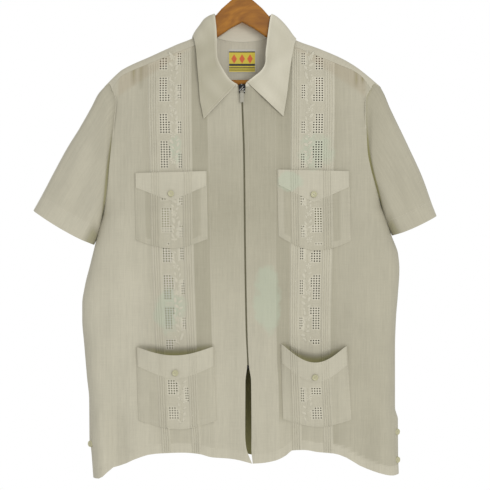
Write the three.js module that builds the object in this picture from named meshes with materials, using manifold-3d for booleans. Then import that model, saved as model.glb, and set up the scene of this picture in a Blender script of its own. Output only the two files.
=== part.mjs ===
// A short-sleeved guayabera shirt with a zipped front, hanging on a wooden hanger.
// Millimetres, +Z up, the front of the shirt faces -Y, and the wearer's right is -X.
// The origin is the inner top of the hanger's hook, where a rail carries the whole thing.
import * as THREE from "three";
import { mergeVertices } from "three/addons/utils/BufferGeometryUtils.js";
import Module from "manifold-3d";

const wasm = await Module();
wasm.setup();

// Cloth and seams
const WALL = 1.2;
const THIN_WALL = 1.0;
const SEAM_GAP = 0.3;
const SIDE_SEAM_HALF_GAP = 0.2;
const ARMHOLE_GAP = 0.7;
const HEAD_DROP = 1.3;
const TUCK_HEIGHT = 0.7;
const TUCKS_IN_GROUP = 4;
const TUCK_GROUP_SHARE = 0.22;
const FACING_WIDTH_SHARE = 0.68;
const FACING_START_SHARE = 0.13;
const FACING_BELOW_NECK = 4;
const FACING_GAP = SEAM_GAP + 0.1;
const BACK_HEM_RISE = 7;
const HEM_MIDDLE_X = 18;
const VENT_TOP_Z = -812;
const VENT_OPENING = 5;
const VENT_OPENING_REACH = 100;
const YOKE_BACK_Z = -236;
const YOKE_BACK_POWER = 0.7;

// Zip
const ZIP_HALF_GAP = 1.6;
const ZIP_TAPE_WIDTH = 12;
const ZIP_TAPE_EDGE = 2;
const ZIP_TAPE_STEPS = 12;
const ZIP_TAPE_GAP = SEAM_GAP + 0.2;
const ZIP_FLAT_WIDTH = 25;
const ZIP_END_Z = -716;
const ZIP_BOX = { halfWidth: 1.25, halfHeight: 3.6, front: 0.8, back: 2.4, drop: 4, shift: 0.2 };
const SLIDER = { width: 13, height: 17, depth: 3, topZ: -223.5, gap: SEAM_GAP + 0.6, bevel: 0.5 };
const PULL = { width: 6.4, length: 19, thick: 1.3, eyeOut: 2.3, eyeIn: 1.3, neckAngle: 0.6 };
const PIVOT = { z: -237, stand: 2.9, barRadius: 0.9, facets: 12 };
const POST = { play: 0.5, thick: 1.2, front: 1.5, halfHeight: 1.7 };

// Buttons
const BUTTON = { radius: 5.5, thick: 2.2, rim: 1.1, dish: 0.7, facets: 10 };
const POCKET_BUTTON_GAP = SEAM_GAP + 0.25;
const VENT_BUTTON_INSET = 3.5;
const VENT_BUTTON_SLOPE_INSET = 9;

// Hanger
const WOOD = { thick: 14, bevel: 2.5, fit: 0.3 };
const BAR = { radius: 5.5, z: -218.4, halfLength: 191, holeStart: 150, holeEnd: 191.4, facets: 16 };
const HOOK = { wire: 2, bend: 19, bendZ: -17, shankFoot: -80, shankTop: -50, holeDepth: 30, holeFacets: 10 };
const HOOK_ARC = { from: -25, to: 205, step: 11.5 };

// A table is a list of rows with named columns.
function table(names, ...rows) {
  const columns = names.split(" ");
  return rows.map((row) => Object.fromEntries(columns.map((name, i) => [name, row[i]])));
}

// Fronts: the edge along the zip, and the two edges of the embroidered band, at each height
const FRONT_LINES = {
  right: table(
    "z zip inner outer",
    [-140, -1.6, -90.1, -165.4],
    [-228, -1.6, -90.1, -165.4],
    [-350, 1.9, -88.5, -162.2],
    [-511, 3.7, -85.8, -158.4],
    [-655, 6.3, -81.5, -152.5],
    [-716, 8.9, -79, -149.5],
    [-745, 6, -77.6, -147.2],
    [-838, 5.6, -73.5, -140.9],
    [-860, 7.5, -72.6, -139.7],
    [-888, 17.6, -71.5, -138.5],
  ),
  left: table(
    "z zip inner outer",
    [-140, 1.6, 87.5, 162.8],
    [-228, 1.6, 87.5, 162.8],
    [-350, 5.1, 86.6, 160.4],
    [-511, 6.9, 85.4, 157],
    [-655, 9.5, 84.5, 154],
    [-716, 12.1, 85.6, 155],
    [-745, 16, 86.4, 156],
    [-838, 16.6, 88.7, 158.2],
    [-860, 16.4, 89, 158.6],
    [-888, 18.6, 89.3, 159],
  ),
};

// Armholes: the front and the back edge of the opening at each height, down to the armpit
const ARMHOLE = {
  right: table(
    "z frontX frontY backX backY",
    [-232, -230, -10.8, -230, 11],
    [-240, -226, -14, -226.5, 14.5],
    [-252, -223.5, -17, -224, 18],
    [-285, -226, -21, -225, 23],
    [-322, -229, -24.5, -228, 26],
    [-366, -233, -26, -232, 27],
    [-409, -237, -23, -237, 23],
    [-436, -242, -14, -242, 14],
    [-453, -247, -SIDE_SEAM_HALF_GAP, -247, SIDE_SEAM_HALF_GAP],
  ),
  left: table(
    "z frontX frontY backX backY",
    [-230, 228, -10.8, 228, 11],
    [-241, 221, -14.5, 222, 14.5],
    [-255, 219.5, -17.5, 220, 18],
    [-290, 219, -21.5, 219.5, 23],
    [-339, 220.5, -25, 221, 26],
    [-370, 226, -26, 226, 27],
    [-395, 233, -23, 233, 23],
    [-420, 241, -14, 241, 14],
    [-437, 247, -SIDE_SEAM_HALF_GAP, 247, SIDE_SEAM_HALF_GAP],
  ),
};

// Side seams: the outline of the body from the armpit to the hem
const BODY_SIDE = {
  right: table(
    "z x",
    [-453, -247],
    [-480, -254],
    [-507, -261],
    [-541, -269.5],
    [-576, -278.3],
    [-611, -283.5],
    [-637, -283.5],
    [-681, -280],
    [-742, -274.8],
    [-777, -271.3],
    [-852, -270.4],
    [-864, -267.8],
    [-916, -263.4],
  ),
  left: table(
    "z x",
    [-437, 247],
    [-450, 252],
    [-490, 265.5],
    [-523, 277],
    [-549, 279.1],
    [-593, 276.5],
    [-637, 273],
    [-689, 271.3],
    [-794, 271.3],
    [-815, 276.5],
    [-873, 276.5],
    [-909, 277.5],
  ),
};

// Hem of the fronts: its height at each place across
const HEM = {
  right: table(
    "x z",
    [-264, -916],
    [-252, -915],
    [-240, -908],
    [-229, -897],
    [-210, -891],
    [-187, -880],
    [-157, -871.5],
    [-103, -869],
    [-77, -870.5],
    [-51, -877],
    [-12, -881],
    [18, -888],
  ),
  left: table(
    "x z",
    [18, -888],
    [35, -887],
    [58, -882],
    [79, -872.5],
    [88, -866],
    [110, -864.5],
    [133, -868],
    [163, -870.5],
    [184, -878.5],
    [206, -892.5],
    [228, -901],
    [250, -907],
    [266, -910],
    [278, -909],
  ),
};

// Top edge of the fronts: the neckline from the zip outwards, then the seam of the yoke
const TOP_EDGE = {
  right: table(
    "x z y",
    [-1.6, -229, -27.8],
    [-20, -226, -27.6],
    [-38, -215.5, -26.5],
    [-53, -198.5, -25],
    [-62.5, -178, -22.8],
    [-67, -162, -19.5],
    [-70, -148, -15.5],
    [-83, -153.3, -14.5],
    [-166, -186.4, -13.5],
    [-212, -207, -12.5],
    [-221, -216, -12],
    [-230, -232, -10.8],
  ),
  left: table(
    "x z y",
    [1.6, -229, -27.8],
    [20, -226, -27.6],
    [38, -215.5, -26.5],
    [55, -198.5, -25],
    [66, -178, -22.8],
    [72, -162, -19.5],
    [76, -148.5, -15.5],
    [93, -155.8, -14.5],
    [171, -187.3, -13.5],
    [200, -200, -12.8],
    [213, -210, -12],
    [228, -230, -10.8],
  ),
};

// Shoulder line: the highest line of the yoke over the hanger, from the neck to the armhole.
// backY and backDrop say where the yoke leaves the hanger at the back.
const SHOULDER = {
  right: table(
    "x z backY backDrop",
    [-66, -118, 12, 9.6],
    [-73, -125, 12.5, 10],
    [-83, -136.4, 13, 11],
    [-117, -151, 13.5, 13],
    [-161, -171, 13.5, 14],
    [-212, -194.8, 12.5, 17],
    [-226, -206.6, 11.5, 20],
    [-243, -224, 11, 21],
  ),
  left: table(
    "x z backY backDrop",
    [68, -120, 12, 9.6],
    [80, -132, 12.5, 10],
    [93, -141.5, 13, 11],
    [137, -158, 13.5, 13],
    [177, -175.2, 13.5, 14],
    [201, -189.2, 12.5, 17],
    [228, -210.2, 11.5, 20],
    [245, -225, 11, 21],
  ),
};
const ARCH_POWER = 2.6;
const YOKE_NECK_X = {
  right: { front: -70, top: -73, back: -66 },
  left: { front: 76, top: 80, back: 68 },
};
const YOKE_ARM_X = {
  right: { front: -230, top: -243, back: -230 },
  left: { front: 228, top: 245, back: 228 },
};

// Back neckline, from the side of the neck to the middle
const BACK_NECK = table("x z y", [-66, -127.6, 12], [-50, -134.3, 20], [-28, -140.6, 24.6], [0, -142.8, 26.5],
  [28, -140.6, 24.6], [50, -134.5, 20], [68, -129.6, 12]);

// How far the fronts and the back stand from the middle plane, and how wide the sides round away
const DEPTH = table(
  "z front back round",
  [-140, 19, 25, 100],
  [-228, 28, 27, 95],
  [-300, 30, 29, 80],
  [-380, 31.5, 28.5, 60],
  [-453, 32.5, 27.5, 38],
  [-640, 33.5, 26, 30],
  [-812, 36, 24.5, 30],
  [-916, 39, 23, 30],
);
const CAMBER = 4;
const CHEST_HALF = 260;
const TOP_BLEND = 120;

// Folds: a soft ridge (or a trough, where depth is negative) between two points of a panel
const FOLDS = {
  right: table(
    "x0 z0 x1 z1 width depth",
    [-227, -770, -220, -890, 15, -8],
    [-246, -740, -246, -915, 15, 5],
    [-196, -640, -190, -880, 20, 5],
    [-30, -560, -28, -880, 22, -4],
    [-205, -470, -226, -690, 20, 4],
    [-192, -240, -196, -420, 16, 3],
    [-60, -840, -62, -876, 18, 4],
  ),
  left: table(
    "x0 z0 x1 z1 width depth",
    [84, -812, 88, -866, 17, -7],
    [60, -700, 62, -880, 15, 5],
    [214, -760, 210, -897, 20, -6],
    [245, -700, 246, -909, 16, 4],
    [203, -560, 214, -720, 20, 4],
    [196, -235, 199, -420, 16, 3],
    [166, -838, 168, -874, 15, 4],
  ),
};
const BACK_FOLDS = table(
  "x0 z0 x1 z1 width depth",
  [-190, -420, -175, -900, 26, 7],
  [-120, -600, -118, -880, 24, -6],
  [-60, -500, -50, -880, 26, 6],
  [40, -620, 42, -880, 24, -6],
  [105, -460, 98, -880, 28, 7],
  [190, -430, 182, -900, 26, -6],
  [232, -520, 236, -900, 16, 4],
);

// Sleeves: the outline over the top of the sleeve, and the cuff edge
const SLEEVE_TOP = {
  right: table("t x z", [0, -243, -224], [0.08, -254.6, -237], [0.18, -266, -259], [0.36, -288.8, -299.3],
    [0.52, -309.8, -333], [0.71, -334.3, -378], [0.87, -353.5, -414.8], [1, -370, -444.5]),
  left: table("t x z", [0, 245, -225], [0.06, 252, -238], [0.16, 261, -260], [0.25, 269.5, -278],
    [0.47, 294, -329], [0.72, 320.3, -386.8], [0.92, 337.8, -435.8], [1, 345, -454]),
};
const CUFF = {
  right: { tipX: -370, tipZ: -444.5, endX: -265, endZ: -505.5, bow: -3, depth: 26 },
  left: { tipX: 345, tipZ: -454, endX: 269, endZ: -489, bow: -2, depth: 27 },
};
const CUFF_FLATNESS = 2.8;
const CUFF_ROUNDNESS = 2.2;
const SLEEVE_FULLNESS = 3;

// How far round the armhole the shoulder reaches in front and behind, and the part where the head drops
const SHOULDER_ROUND = 0.1;
const BACK_ROUND = 0.12;
const HEAD_ROUND = 0.15;
const SLEEVE_FOLDS = {
  right: table("x0 z0 x1 z1 width depth", [-245, -300, -300, -455, 16, -5], [-262, -275, -330, -440, 17, 5]),
  left: table("x0 z0 x1 z1 width depth", [238, -300, 285, -455, 15, -5], [256, -275, 312, -440, 16, 5]),
};

// Collar in front: the seam (s), the fold (f) and the outer edge of the leaf (l), from the zip outwards
const COLLAR_FRONT = {
  right: table(
    "sx sy sz fx fy fz lx ly lz",
    [-3.5, -25.6, -229.5, -9.5, -27, -223.1, -67.4, -33, -284.4],
    [-20, -25.4, -227, -22.8, -26, -213.5, -70.5, -33, -268],
    [-38, -24.3, -217, -33, -24, -198, -73.5, -32, -252],
    [-53, -22.6, -200, -42, -21, -180, -76, -30, -222],
    [-62, -19.8, -179.5, -43.8, -18.5, -160, -78.5, -27, -192],
    [-65, -15.6, -164, -44, -15.5, -141, -81, -23, -163],
  ),
  left: table(
    "sx sy sz fx fy fz lx ly lz",
    [3.5, -25.6, -229.5, 8.4, -27, -219.5, 72.6, -33, -280],
    [20, -25.4, -227, 22, -26, -209.5, 75.5, -33, -263],
    [38, -24.3, -217, 33, -24, -200, 78.8, -32, -243.3],
    [55, -22.6, -200, 40.3, -21, -187, 81.5, -30, -220],
    [65.5, -19.8, -179.5, 41.3, -18.5, -168, 84.5, -27, -196],
    [70, -15.6, -164, 43.5, -15.5, -150, 88.5, -23, -170],
  ),
};

// Collar over the hanger: the seam lies at this share of the yoke's arch
const COLLAR_SHOULDER = {
  right: table(
    "share fx fy fz lx ly lz",
    [-1, -45.4, -12.5, -120, -83.5, -19, -147],
    [-0.75, -46.8, -10.8, -106, -85.5, -13, -140],
    [-0.45, -47.8, -7, -98.8, -86.8, -7.5, -137.3],
    [0, -48, 0, -96.6, -87, 0, -136.4],
    [0.45, -47, 6, -97.2, -88, 7, -138.5],
    [0.75, -45.5, 10, -98.5, -89, 12.5, -143],
    [1, -42.5, 13.2, -100, -88, 19, -150],
  ),
  left: table(
    "share fx fy fz lx ly lz",
    [-1, 46.6, -12.5, -128, 92.5, -19, -151],
    [-0.75, 48.4, -10.8, -112, 94.5, -13, -146],
    [-0.45, 50, -7, -101.5, 95.8, -7.5, -142.8],
    [0, 50.5, 0, -98.8, 96, 0, -142],
    [0.45, 49.5, 6, -99, 96, 7, -144],
    [0.75, 47.5, 10, -99.5, 95.5, 12.5, -148],
    [1, 43.5, 13.2, -100.5, 92, 19, -154],
  ),
};

// Collar behind the neck: its seam is the back neckline
const COLLAR_BACK = table(
  "x fx fy fz lx ly lz",
  [-50, -33, 19.8, -103, -68, 27.5, -161],
  [-28, -18, 24.2, -106, -36, 32, -168],
  [0, 0, 26, -107, 0, 34, -170],
  [28, 18, 24.2, -106, 36, 32, -168],
  [50, 33, 19.8, -103, 68, 27.5, -161],
);
const STAND_STEPS = [0, 0.33, 0.67, 1];
const STAND_INSET = { foot: SEAM_GAP + 0.1, fold: -0.6 };
const LEAF_STEPS = [1, 0.84, 0.62, 0.38, 0.16, 0];
const LEAF_BOW = { most: 6, inFront: 0.25, at: 0.4, width: 0.2, power: 0.8 };
const LEAF_WALL = 1.4;
const LEAF_LIFT = 1.9;
const LEAF_RISE = 0.6;
const LEAF_CLEARANCE = LEAF_WALL + SEAM_GAP + 0.7;
const LEAF_SHOULDER_CLEARANCE = 1.5 * LEAF_CLEARANCE;

// Pockets: the corners of the opening and of the bottom, how low the point hangs,
// how far the mouth gapes and dips, and the pointed band along the top
const POCKETS = {
  pocket_upper_right: { side: "right", topX: [-188.3, -61.3], topZ: [-379.8, -376.3], lowX: [-186.2, -60],
    lowZ: [-497, -495], point: 16, gape: 2, dip: 0, bandSide: 25, bandPoint: 44 },
  pocket_upper_left: { side: "left", topX: [61.3, 188.5], topZ: [-373.6, -376.3], lowX: [63.9, 190.8],
    lowZ: [-490, -498.8], point: 21, gape: 2, dip: 0, bandSide: 26, bandPoint: 46 },
  pocket_lower_right: { side: "right", topX: [-185.5, -49], topZ: [-684.3, -683.4], lowX: [-181, -44.6],
    lowZ: [-812, -813], point: 16, gape: 16, dip: 14, bandSide: 33, bandPoint: 41 },
  pocket_lower_left: { side: "left", topX: [67.4, 183.8], topZ: [-678.7, -682.2], lowX: [71.8, 192],
    lowZ: [-810, -812], point: 13, gape: 26, dip: 29, bandSide: 33, bandPoint: 41 },
};
const POCKET_LIFT = TUCK_HEIGHT + SEAM_GAP + WALL;
const POCKET_BAND_LIFT = POCKET_LIFT + THIN_WALL + SEAM_GAP + 0.3;
const POCKET_BAND_EDGE_SHARE = 0.015;
const POCKET_DIP_POWER = 1.3;
const POCKET_POINT_POWER = 1.7;
const POCKET_GAPE_POWERS = { across: 0.8, down: 1.3 };
const BUTTON_FROM_POINT = 11;
const BUTTON_TILT_SHARE = 0.04;

const LABEL = { x0: -24.5, x1: 24.5, z0: -155, z1: -197, wall: 0.8 };

// Hanger outline, half of it, from the middle of the top round to the middle of the underside
const WOOD_HALF = table("x z", [0, -62], [12, -66.5], [23.6, -76], [36, -87], [45.5, -97.8], [60, -115.5],
  [83, -140.5], [120, -156.5], [160, -174], [200, -196], [212, -205.5], [220, -216], [221, -227],
  [219, -235.5], [203, -236.5], [184, -229], [172, -212], [156, -197], [120, -177.5], [80, -157],
  [42, -136.5], [20, -121.5]);
const WOOD_BOTTOM_Z = -111;

const COLORS = {
  cloth: 0xb9b3a0,
  pocket: 0xbdb7a4,
  collar: 0xd0c9b8,
  sleeve: 0xb1ab97,
  facing: 0xc4beac,
  button: 0xb9b58a,
  wood: 0x9a6530,
  steel: 0xb8babd,
  black: 0x1c1c1e,
  label: 0xe2b84a,
};

const clamp01 = (v) => Math.min(1, Math.max(0, v));
const mix = (a, b, t) => a + (b - a) * t;
const easeInOut = (v) => clamp01(v) ** 2 * (3 - 2 * clamp01(v));
const quarterRound = (v) => Math.sqrt(1 - (1 - clamp01(v)) ** 2);
const point = (x, y, z) => new THREE.Vector3(x, y, z);

// A smooth line through one column of a table, which doesn't overshoot between rows
function lineOf(rows, key, column) {
  const sorted = [...rows].sort((a, b) => a[key] - b[key]);
  const at = sorted.map((row) => row[key]);
  const value = sorted.map((row) => row[column]);
  const last = at.length - 1;
  const rise = at.slice(1).map((v, i) => (value[i + 1] - value[i]) / (v - at[i]));
  const slope = value.map((_, i) => {
    if (i === 0) return rise[0];
    if (i === last) return rise[last - 1];
    return rise[i - 1] * rise[i] <= 0 ? 0 : (2 * rise[i - 1] * rise[i]) / (rise[i - 1] + rise[i]);
  });
  return (v) => {
    const x = Math.min(at[last], Math.max(at[0], v));
    let i = 0;
    while (i < last - 1 && x > at[i + 1]) i += 1;
    const width = at[i + 1] - at[i];
    const t = (x - at[i]) / width;
    const a = 2 * t ** 3 - 3 * t ** 2 + 1;
    const b = t ** 3 - 2 * t ** 2 + t;
    const c = -2 * t ** 3 + 3 * t ** 2;
    const d = t ** 3 - t ** 2;
    return a * value[i] + b * width * slope[i] + c * value[i + 1] + d * width * slope[i + 1];
  };
}

// Straight stretches between the rows of a table, for an edge that two pieces share
function chordOf(rows, key, column) {
  const sorted = [...rows].sort((a, b) => a[key] - b[key]);
  return (v) => {
    let i = 0;
    while (i < sorted.length - 2 && v > sorted[i + 1][key]) i += 1;
    const from = sorted[i];
    const to = sorted[i + 1];
    return mix(from[column], to[column], clamp01((v - from[key]) / (to[key] - from[key])));
  };
}

const depthFront = lineOf(DEPTH, "z", "front");
const depthBack = lineOf(DEPTH, "z", "back");
const roundWidth = lineOf(DEPTH, "z", "round");
const backNeckZ = lineOf(BACK_NECK, "x", "z");
const backNeckY = lineOf(BACK_NECK, "x", "y");

// The places along the yoke's front seam, as shares of its length; both pieces turn at them
const YOKE_STEPS = [0, 0.08, 0.18, 0.34, 0.55, 0.76, 0.88, 0.95, 1];

// All the lines that belong to one side of the shirt
function sideLines(name) {
  const top = TOP_EDGE[name];
  const smoothZ = lineOf(top, "x", "z");
  const smoothY = lineOf(top, "x", "y");
  const neck = YOKE_NECK_X[name].front;
  const arm = YOKE_ARM_X[name].front;
  const seam = YOKE_STEPS.map((share) => {
    const x = mix(neck, arm, share);
    return { x, z: smoothZ(x), y: smoothY(x) };
  });
  const seamZ = chordOf(seam, "x", "z");
  const seamY = chordOf(seam, "x", "y");
  const onSeam = (x) => Math.abs(x) >= Math.abs(neck);
  const armhole = ARMHOLE[name];
  const armpitZ = armhole[armhole.length - 1].z;
  const bodyX = lineOf(BODY_SIDE[name], "z", "x");
  const armFrontX = lineOf(armhole, "z", "frontX");
  const armFrontY = lineOf(armhole, "z", "frontY");
  const armBackX = lineOf(armhole, "z", "backX");
  const armBackY = lineOf(armhole, "z", "backY");
  const vent = (z) => SIDE_SEAM_HALF_GAP + VENT_OPENING * easeInOut((VENT_TOP_Z - z) / VENT_OPENING_REACH);
  return {
    name,
    sign: name === "right" ? -1 : 1,
    armpitZ,
    armTopZ: armhole[0].z,
    topZ: (x) => (onSeam(x) ? seamZ(x) : smoothZ(x)),
    topY: (x) => (onSeam(x) ? seamY(x) : smoothY(x)),
    hemZ: lineOf(HEM[name], "x", "z"),
    zipX: lineOf(FRONT_LINES[name], "z", "zip"),
    innerX: lineOf(FRONT_LINES[name], "z", "inner"),
    outerX: lineOf(FRONT_LINES[name], "z", "outer"),
    frontEdgeX: (z) => (z > armpitZ ? armFrontX(z) : bodyX(z)),
    frontEdgeY: (z) => (z > armpitZ ? armFrontY(z) : -vent(z)),
    backEdgeX: (z) => (z > armpitZ ? armBackX(z) : bodyX(z)),
    backEdgeY: (z) => (z > armpitZ ? armBackY(z) : vent(z)),
    shoulderZ: lineOf(SHOULDER[name], "x", "z"),
    backY: lineOf(SHOULDER[name], "x", "backY"),
    backDrop: lineOf(SHOULDER[name], "x", "backDrop"),
  };
}

const SIDES = { right: sideLines("right"), left: sideLines("left") };

// How far the folds of a table lift the cloth at a place
function foldLift(folds, x, z) {
  let lift = 0;
  for (const fold of folds) {
    const dx = fold.x1 - fold.x0;
    const dz = fold.z1 - fold.z0;
    const along = ((x - fold.x0) * dx + (z - fold.z0) * dz) / (dx * dx + dz * dz);
    const away = Math.abs((x - fold.x0) * dz - (z - fold.z0) * dx) / Math.hypot(dx, dz);
    const fade = easeInOut(along / 0.45) * (1 - easeInOut((along - 1) / 0.25));
    lift += fold.depth * Math.exp(-((away / fold.width) ** 2)) * fade;
  }
  return lift;
}

// The outer face of a front at a place on it
function frontY(side, x, z) {
  const inward = Math.abs(side.frontEdgeX(z) - x);
  const round = quarterRound(inward / roundWidth(z));
  const flat = -(depthFront(z) - CAMBER * (x / CHEST_HALF) ** 2);
  const body = mix(side.frontEdgeY(z), flat, round);
  const blend = easeInOut((side.topZ(x) - z) / TOP_BLEND);
  const nearZip = easeInOut(Math.abs(x - side.zipX(z)) / ZIP_FLAT_WIDTH);
  return mix(side.topY(x), body, blend) - foldLift(FOLDS[side.name], x, z) * round * blend * nearZip;
}

// The outer face of the back at a place on it
function backY(x, z) {
  const right = SIDES.right;
  const left = SIDES.left;
  const inRight = x - right.backEdgeX(z);
  const inLeft = left.backEdgeX(z) - x;
  const side = inRight < inLeft ? right : left;
  const round = quarterRound(Math.min(inRight, inLeft) / roundWidth(z));
  const flat = depthBack(z) - CAMBER * (x / CHEST_HALF) ** 2;
  const lift = foldLift(BACK_FOLDS, x, z) * easeInOut((YOKE_BACK_Z - z) / TOP_BLEND);
  return mix(side.backEdgeY(z), flat + lift, round);
}

// The yoke where it lies over the hanger: share runs from -1 at the front seam over 0 to 1 at the back
function shoulderPoint(side, x, share) {
  const q = Math.abs(share);
  const line = side.shoulderZ(x);
  const frontDrop = line - side.topZ(x);
  if (share < 0) return point(x, side.topY(x) * q, line - frontDrop * q ** ARCH_POWER);
  return point(x, side.backY(x) * q, line - side.backDrop(x) * q ** ARCH_POWER);
}

const acrossShare = (places, share) =>
  share < 0 ? mix(places.top, places.front, -share) : mix(places.top, places.back, share);

// A cloth wall. grid[row][column] are the points of its outer face, raised by lift where it is given,
// and the inner face lies one wall behind them, where inside() may trim its edges to a seam.
// Cells that keep(row, column) refuses are left out.
function wallGeometry(grid, { wall = WALL, ring = false, lift = null, inside = null, keep = () => true }) {
  const rows = grid.length;
  const columns = grid[0].length;
  const at = (r, c) => grid[r][ring ? (c + columns) % columns : Math.min(columns - 1, Math.max(0, c))];
  const normal = (r, c) => {
    const down = at(Math.min(rows - 1, r + 1), c).clone().sub(at(Math.max(0, r - 1), c));
    const across = at(r, c + 1).clone().sub(at(r, c - 1));
    return across.cross(down).normalize();
  };
  const outer = [];
  const inner = [];
  for (let r = 0; r < rows; r += 1) {
    for (let c = 0; c < columns; c += 1) {
      const n = normal(r, c);
      outer.push(grid[r][c].clone().addScaledVector(n, lift ? lift(r, c) : 0));
      const behind = grid[r][c].clone().addScaledVector(n, -wall);
      if (inside) inside(behind, grid[r][c], r, c);
      inner.push(behind);
    }
  }
  const vertices = [...outer, ...inner];
  const count = outer.length;
  const faces = [];
  const edges = new Map();
  const addEdge = (a, b) => {
    if (edges.has(b + "/" + a)) edges.delete(b + "/" + a);
    else edges.set(a + "/" + b, [a, b]);
  };
  const cells = ring ? columns : columns - 1;
  for (let r = 0; r < rows - 1; r += 1) {
    for (let c = 0; c < cells; c += 1) {
      if (!keep(r, c)) continue;
      const next = (c + 1) % columns;
      const a = r * columns + c;
      const b = (r + 1) * columns + c;
      const d = (r + 1) * columns + next;
      const e = r * columns + next;
      const short = vertices[a].distanceTo(vertices[d]) <= vertices[b].distanceTo(vertices[e]);
      const halves = short ? [[a, b, d], [a, d, e]] : [[a, b, e], [b, d, e]];
      for (const [i, j, k] of halves) {
        faces.push([i, j, k], [count + k, count + j, count + i]);
        addEdge(i, j);
        addEdge(j, k);
        addEdge(k, i);
      }
    }
  }
  for (const [a, b] of edges.values()) faces.push([b, a, count + a], [b, count + a, count + b]);
  return facesGeometry(vertices, faces);
}

// A geometry from vertices and faces, turned so that its faces point out
function facesGeometry(vertices, faces) {
  let volume = 0;
  for (const [i, j, k] of faces) volume += vertices[i].dot(vertices[j].clone().cross(vertices[k]));
  const turned = volume < 0 ? faces.map(([i, j, k]) => [k, j, i]) : faces;
  const geometry = new THREE.BufferGeometry();
  geometry.setFromPoints(vertices);
  geometry.setIndex(turned.flat());
  const used = geometry.toNonIndexed();
  used.computeVertexNormals();
  return used;
}

// A geometry as a solid that can be joined to others or cut by them
function solidOf(geometry) {
  const bare = new THREE.BufferGeometry();
  const source = geometry.index ? geometry.toNonIndexed() : geometry;
  bare.setAttribute("position", source.getAttribute("position").clone());
  const merged = mergeVertices(bare, 1e-4);
  return new wasm.Manifold(new wasm.Mesh({
    numProp: 3,
    vertProperties: merged.getAttribute("position").array,
    triVerts: new Uint32Array(merged.index.array),
  }));
}

function solidGeometry(solid) {
  const mesh = solid.getMesh();
  const geometry = new THREE.BufferGeometry();
  geometry.setAttribute("position", new THREE.BufferAttribute(new Float32Array(mesh.vertProperties), 3));
  geometry.setIndex(new THREE.BufferAttribute(new Uint32Array(mesh.triVerts), 1));
  geometry.computeVertexNormals();
  return geometry;
}

const shirt = new THREE.Group();

function addMesh(name, geometry, color, roughness = 0.9, metalness = 0) {
  const material = new THREE.MeshStandardMaterial({ color, roughness, metalness });
  const mesh = new THREE.Mesh(geometry, material);
  mesh.name = name;
  shirt.add(mesh);
  return mesh;
}

// Columns of a front, as shares of the three stretches: zip to band, band, band to side
const ZIP_TO_BAND = [0, 0.14, 0.22, 0.4, 0.56, FACING_WIDTH_SHARE, 0.76, 0.8, 0.92];
const BAND_TO_SIDE = [0.25, 0.48, 0.67, 0.81, 0.91, 0.97, 1];
const TUCK_STEPS = 2 * TUCKS_IN_GROUP;

function frontColumns() {
  const columns = ZIP_TO_BAND.map((share) => ({ stretch: 0, share, ridge: false }));
  for (let i = 0; i <= TUCK_STEPS; i += 1)
    columns.push({ stretch: 1, share: (i / TUCK_STEPS) * TUCK_GROUP_SHARE, ridge: i % 2 === 1 });
  for (const share of [0.4, 0.6]) columns.push({ stretch: 1, share, ridge: false });
  for (let i = 0; i <= TUCK_STEPS; i += 1) {
    const share = 1 - TUCK_GROUP_SHARE + (i / TUCK_STEPS) * TUCK_GROUP_SHARE;
    columns.push({ stretch: 1, share, ridge: i % 2 === 1 });
  }
  for (const share of BAND_TO_SIDE) columns.push({ stretch: 2, share, ridge: false });
  return columns;
}

function columnX(side, column, z) {
  if (column.stretch === 0) return mix(side.zipX(z), side.innerX(z), column.share);
  if (column.stretch === 1) return mix(side.innerX(z), side.outerX(z), column.share);
  return mix(side.outerX(z), side.frontEdgeX(z), column.share);
}

// Rows of a panel: shares from its top to the armpit, from there to the vents, and to the hem
const ROWS_ABOVE_ARMPIT = [0, 0.06, 0.16, 0.32, 0.52, 0.72, 0.87];
const ROWS_TO_VENT = [0, 0.12, 0.28, 0.44, 0.6, 0.76, 0.9];
const ROWS_TO_HEM = [0, 0.35, 0.7, 1];

function rowHeights(topZ, armpitZ, hemZ) {
  return [
    ...ROWS_ABOVE_ARMPIT.map((share) => mix(topZ, armpitZ, share)),
    ...ROWS_TO_VENT.map((share) => mix(armpitZ, VENT_TOP_Z, share)),
    ...ROWS_TO_HEM.map((share) => mix(VENT_TOP_Z, hemZ, share)),
  ];
}

// The height at which a column meets an edge that is given across the panel, found in a few rounds
const MEET_ROUNDS = 12;
const TOP_GUESS_Z = -190;
const HEM_GUESS_Z = -880;

function meet(start, heightAt) {
  let z = start;
  for (let i = 0; i < MEET_ROUNDS; i += 1) z = heightAt(z);
  return z;
}

function frontGrid(side, columns) {
  const heights = columns.map((column) => {
    const top = meet(TOP_GUESS_Z, (z) => side.topZ(columnX(side, column, z))) - 2 * SEAM_GAP;
    const hem = meet(HEM_GUESS_Z, (z) => side.hemZ(columnX(side, column, z)));
    return rowHeights(top, side.armpitZ, hem);
  });
  return heights[0].map((_, r) => columns.map((column, c) => {
    const z = heights[c][r];
    const x = columnX(side, column, z);
    return point(x, frontY(side, x, z), z);
  }));
}

function addFront(side) {
  const columns = frontColumns();
  const grid = frontGrid(side, columns);
  const lift = (r, c) => (columns[c].ridge ? TUCK_HEIGHT : 0);
  const ordered = side.sign < 0 ? grid : grid.map((row) => [...row].reverse());
  const orderedLift = side.sign < 0 ? lift : (r, c) => lift(r, columns.length - 1 - c);
  const edge = side.sign < 0 ? columns.length - 1 : 0;
  const inside = (p, outer, r, c) => {
    p.y = Math.min(p.y, -SIDE_SEAM_HALF_GAP);
    if (r === 0) p.z = Math.min(p.z, outer.z);
    if (c === edge && outer.z > side.armpitZ) p.x = outer.x;
  };
  addMesh("front_" + side.name, wallGeometry(ordered, { lift: orderedLift, inside }), COLORS.cloth);
}

// The grid of a strip that lies a distance behind a front
function behindGrid(grid, distance) {
  return grid.map((row) => row.map((p) => point(p.x, p.y + distance, p.z)));
}

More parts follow.
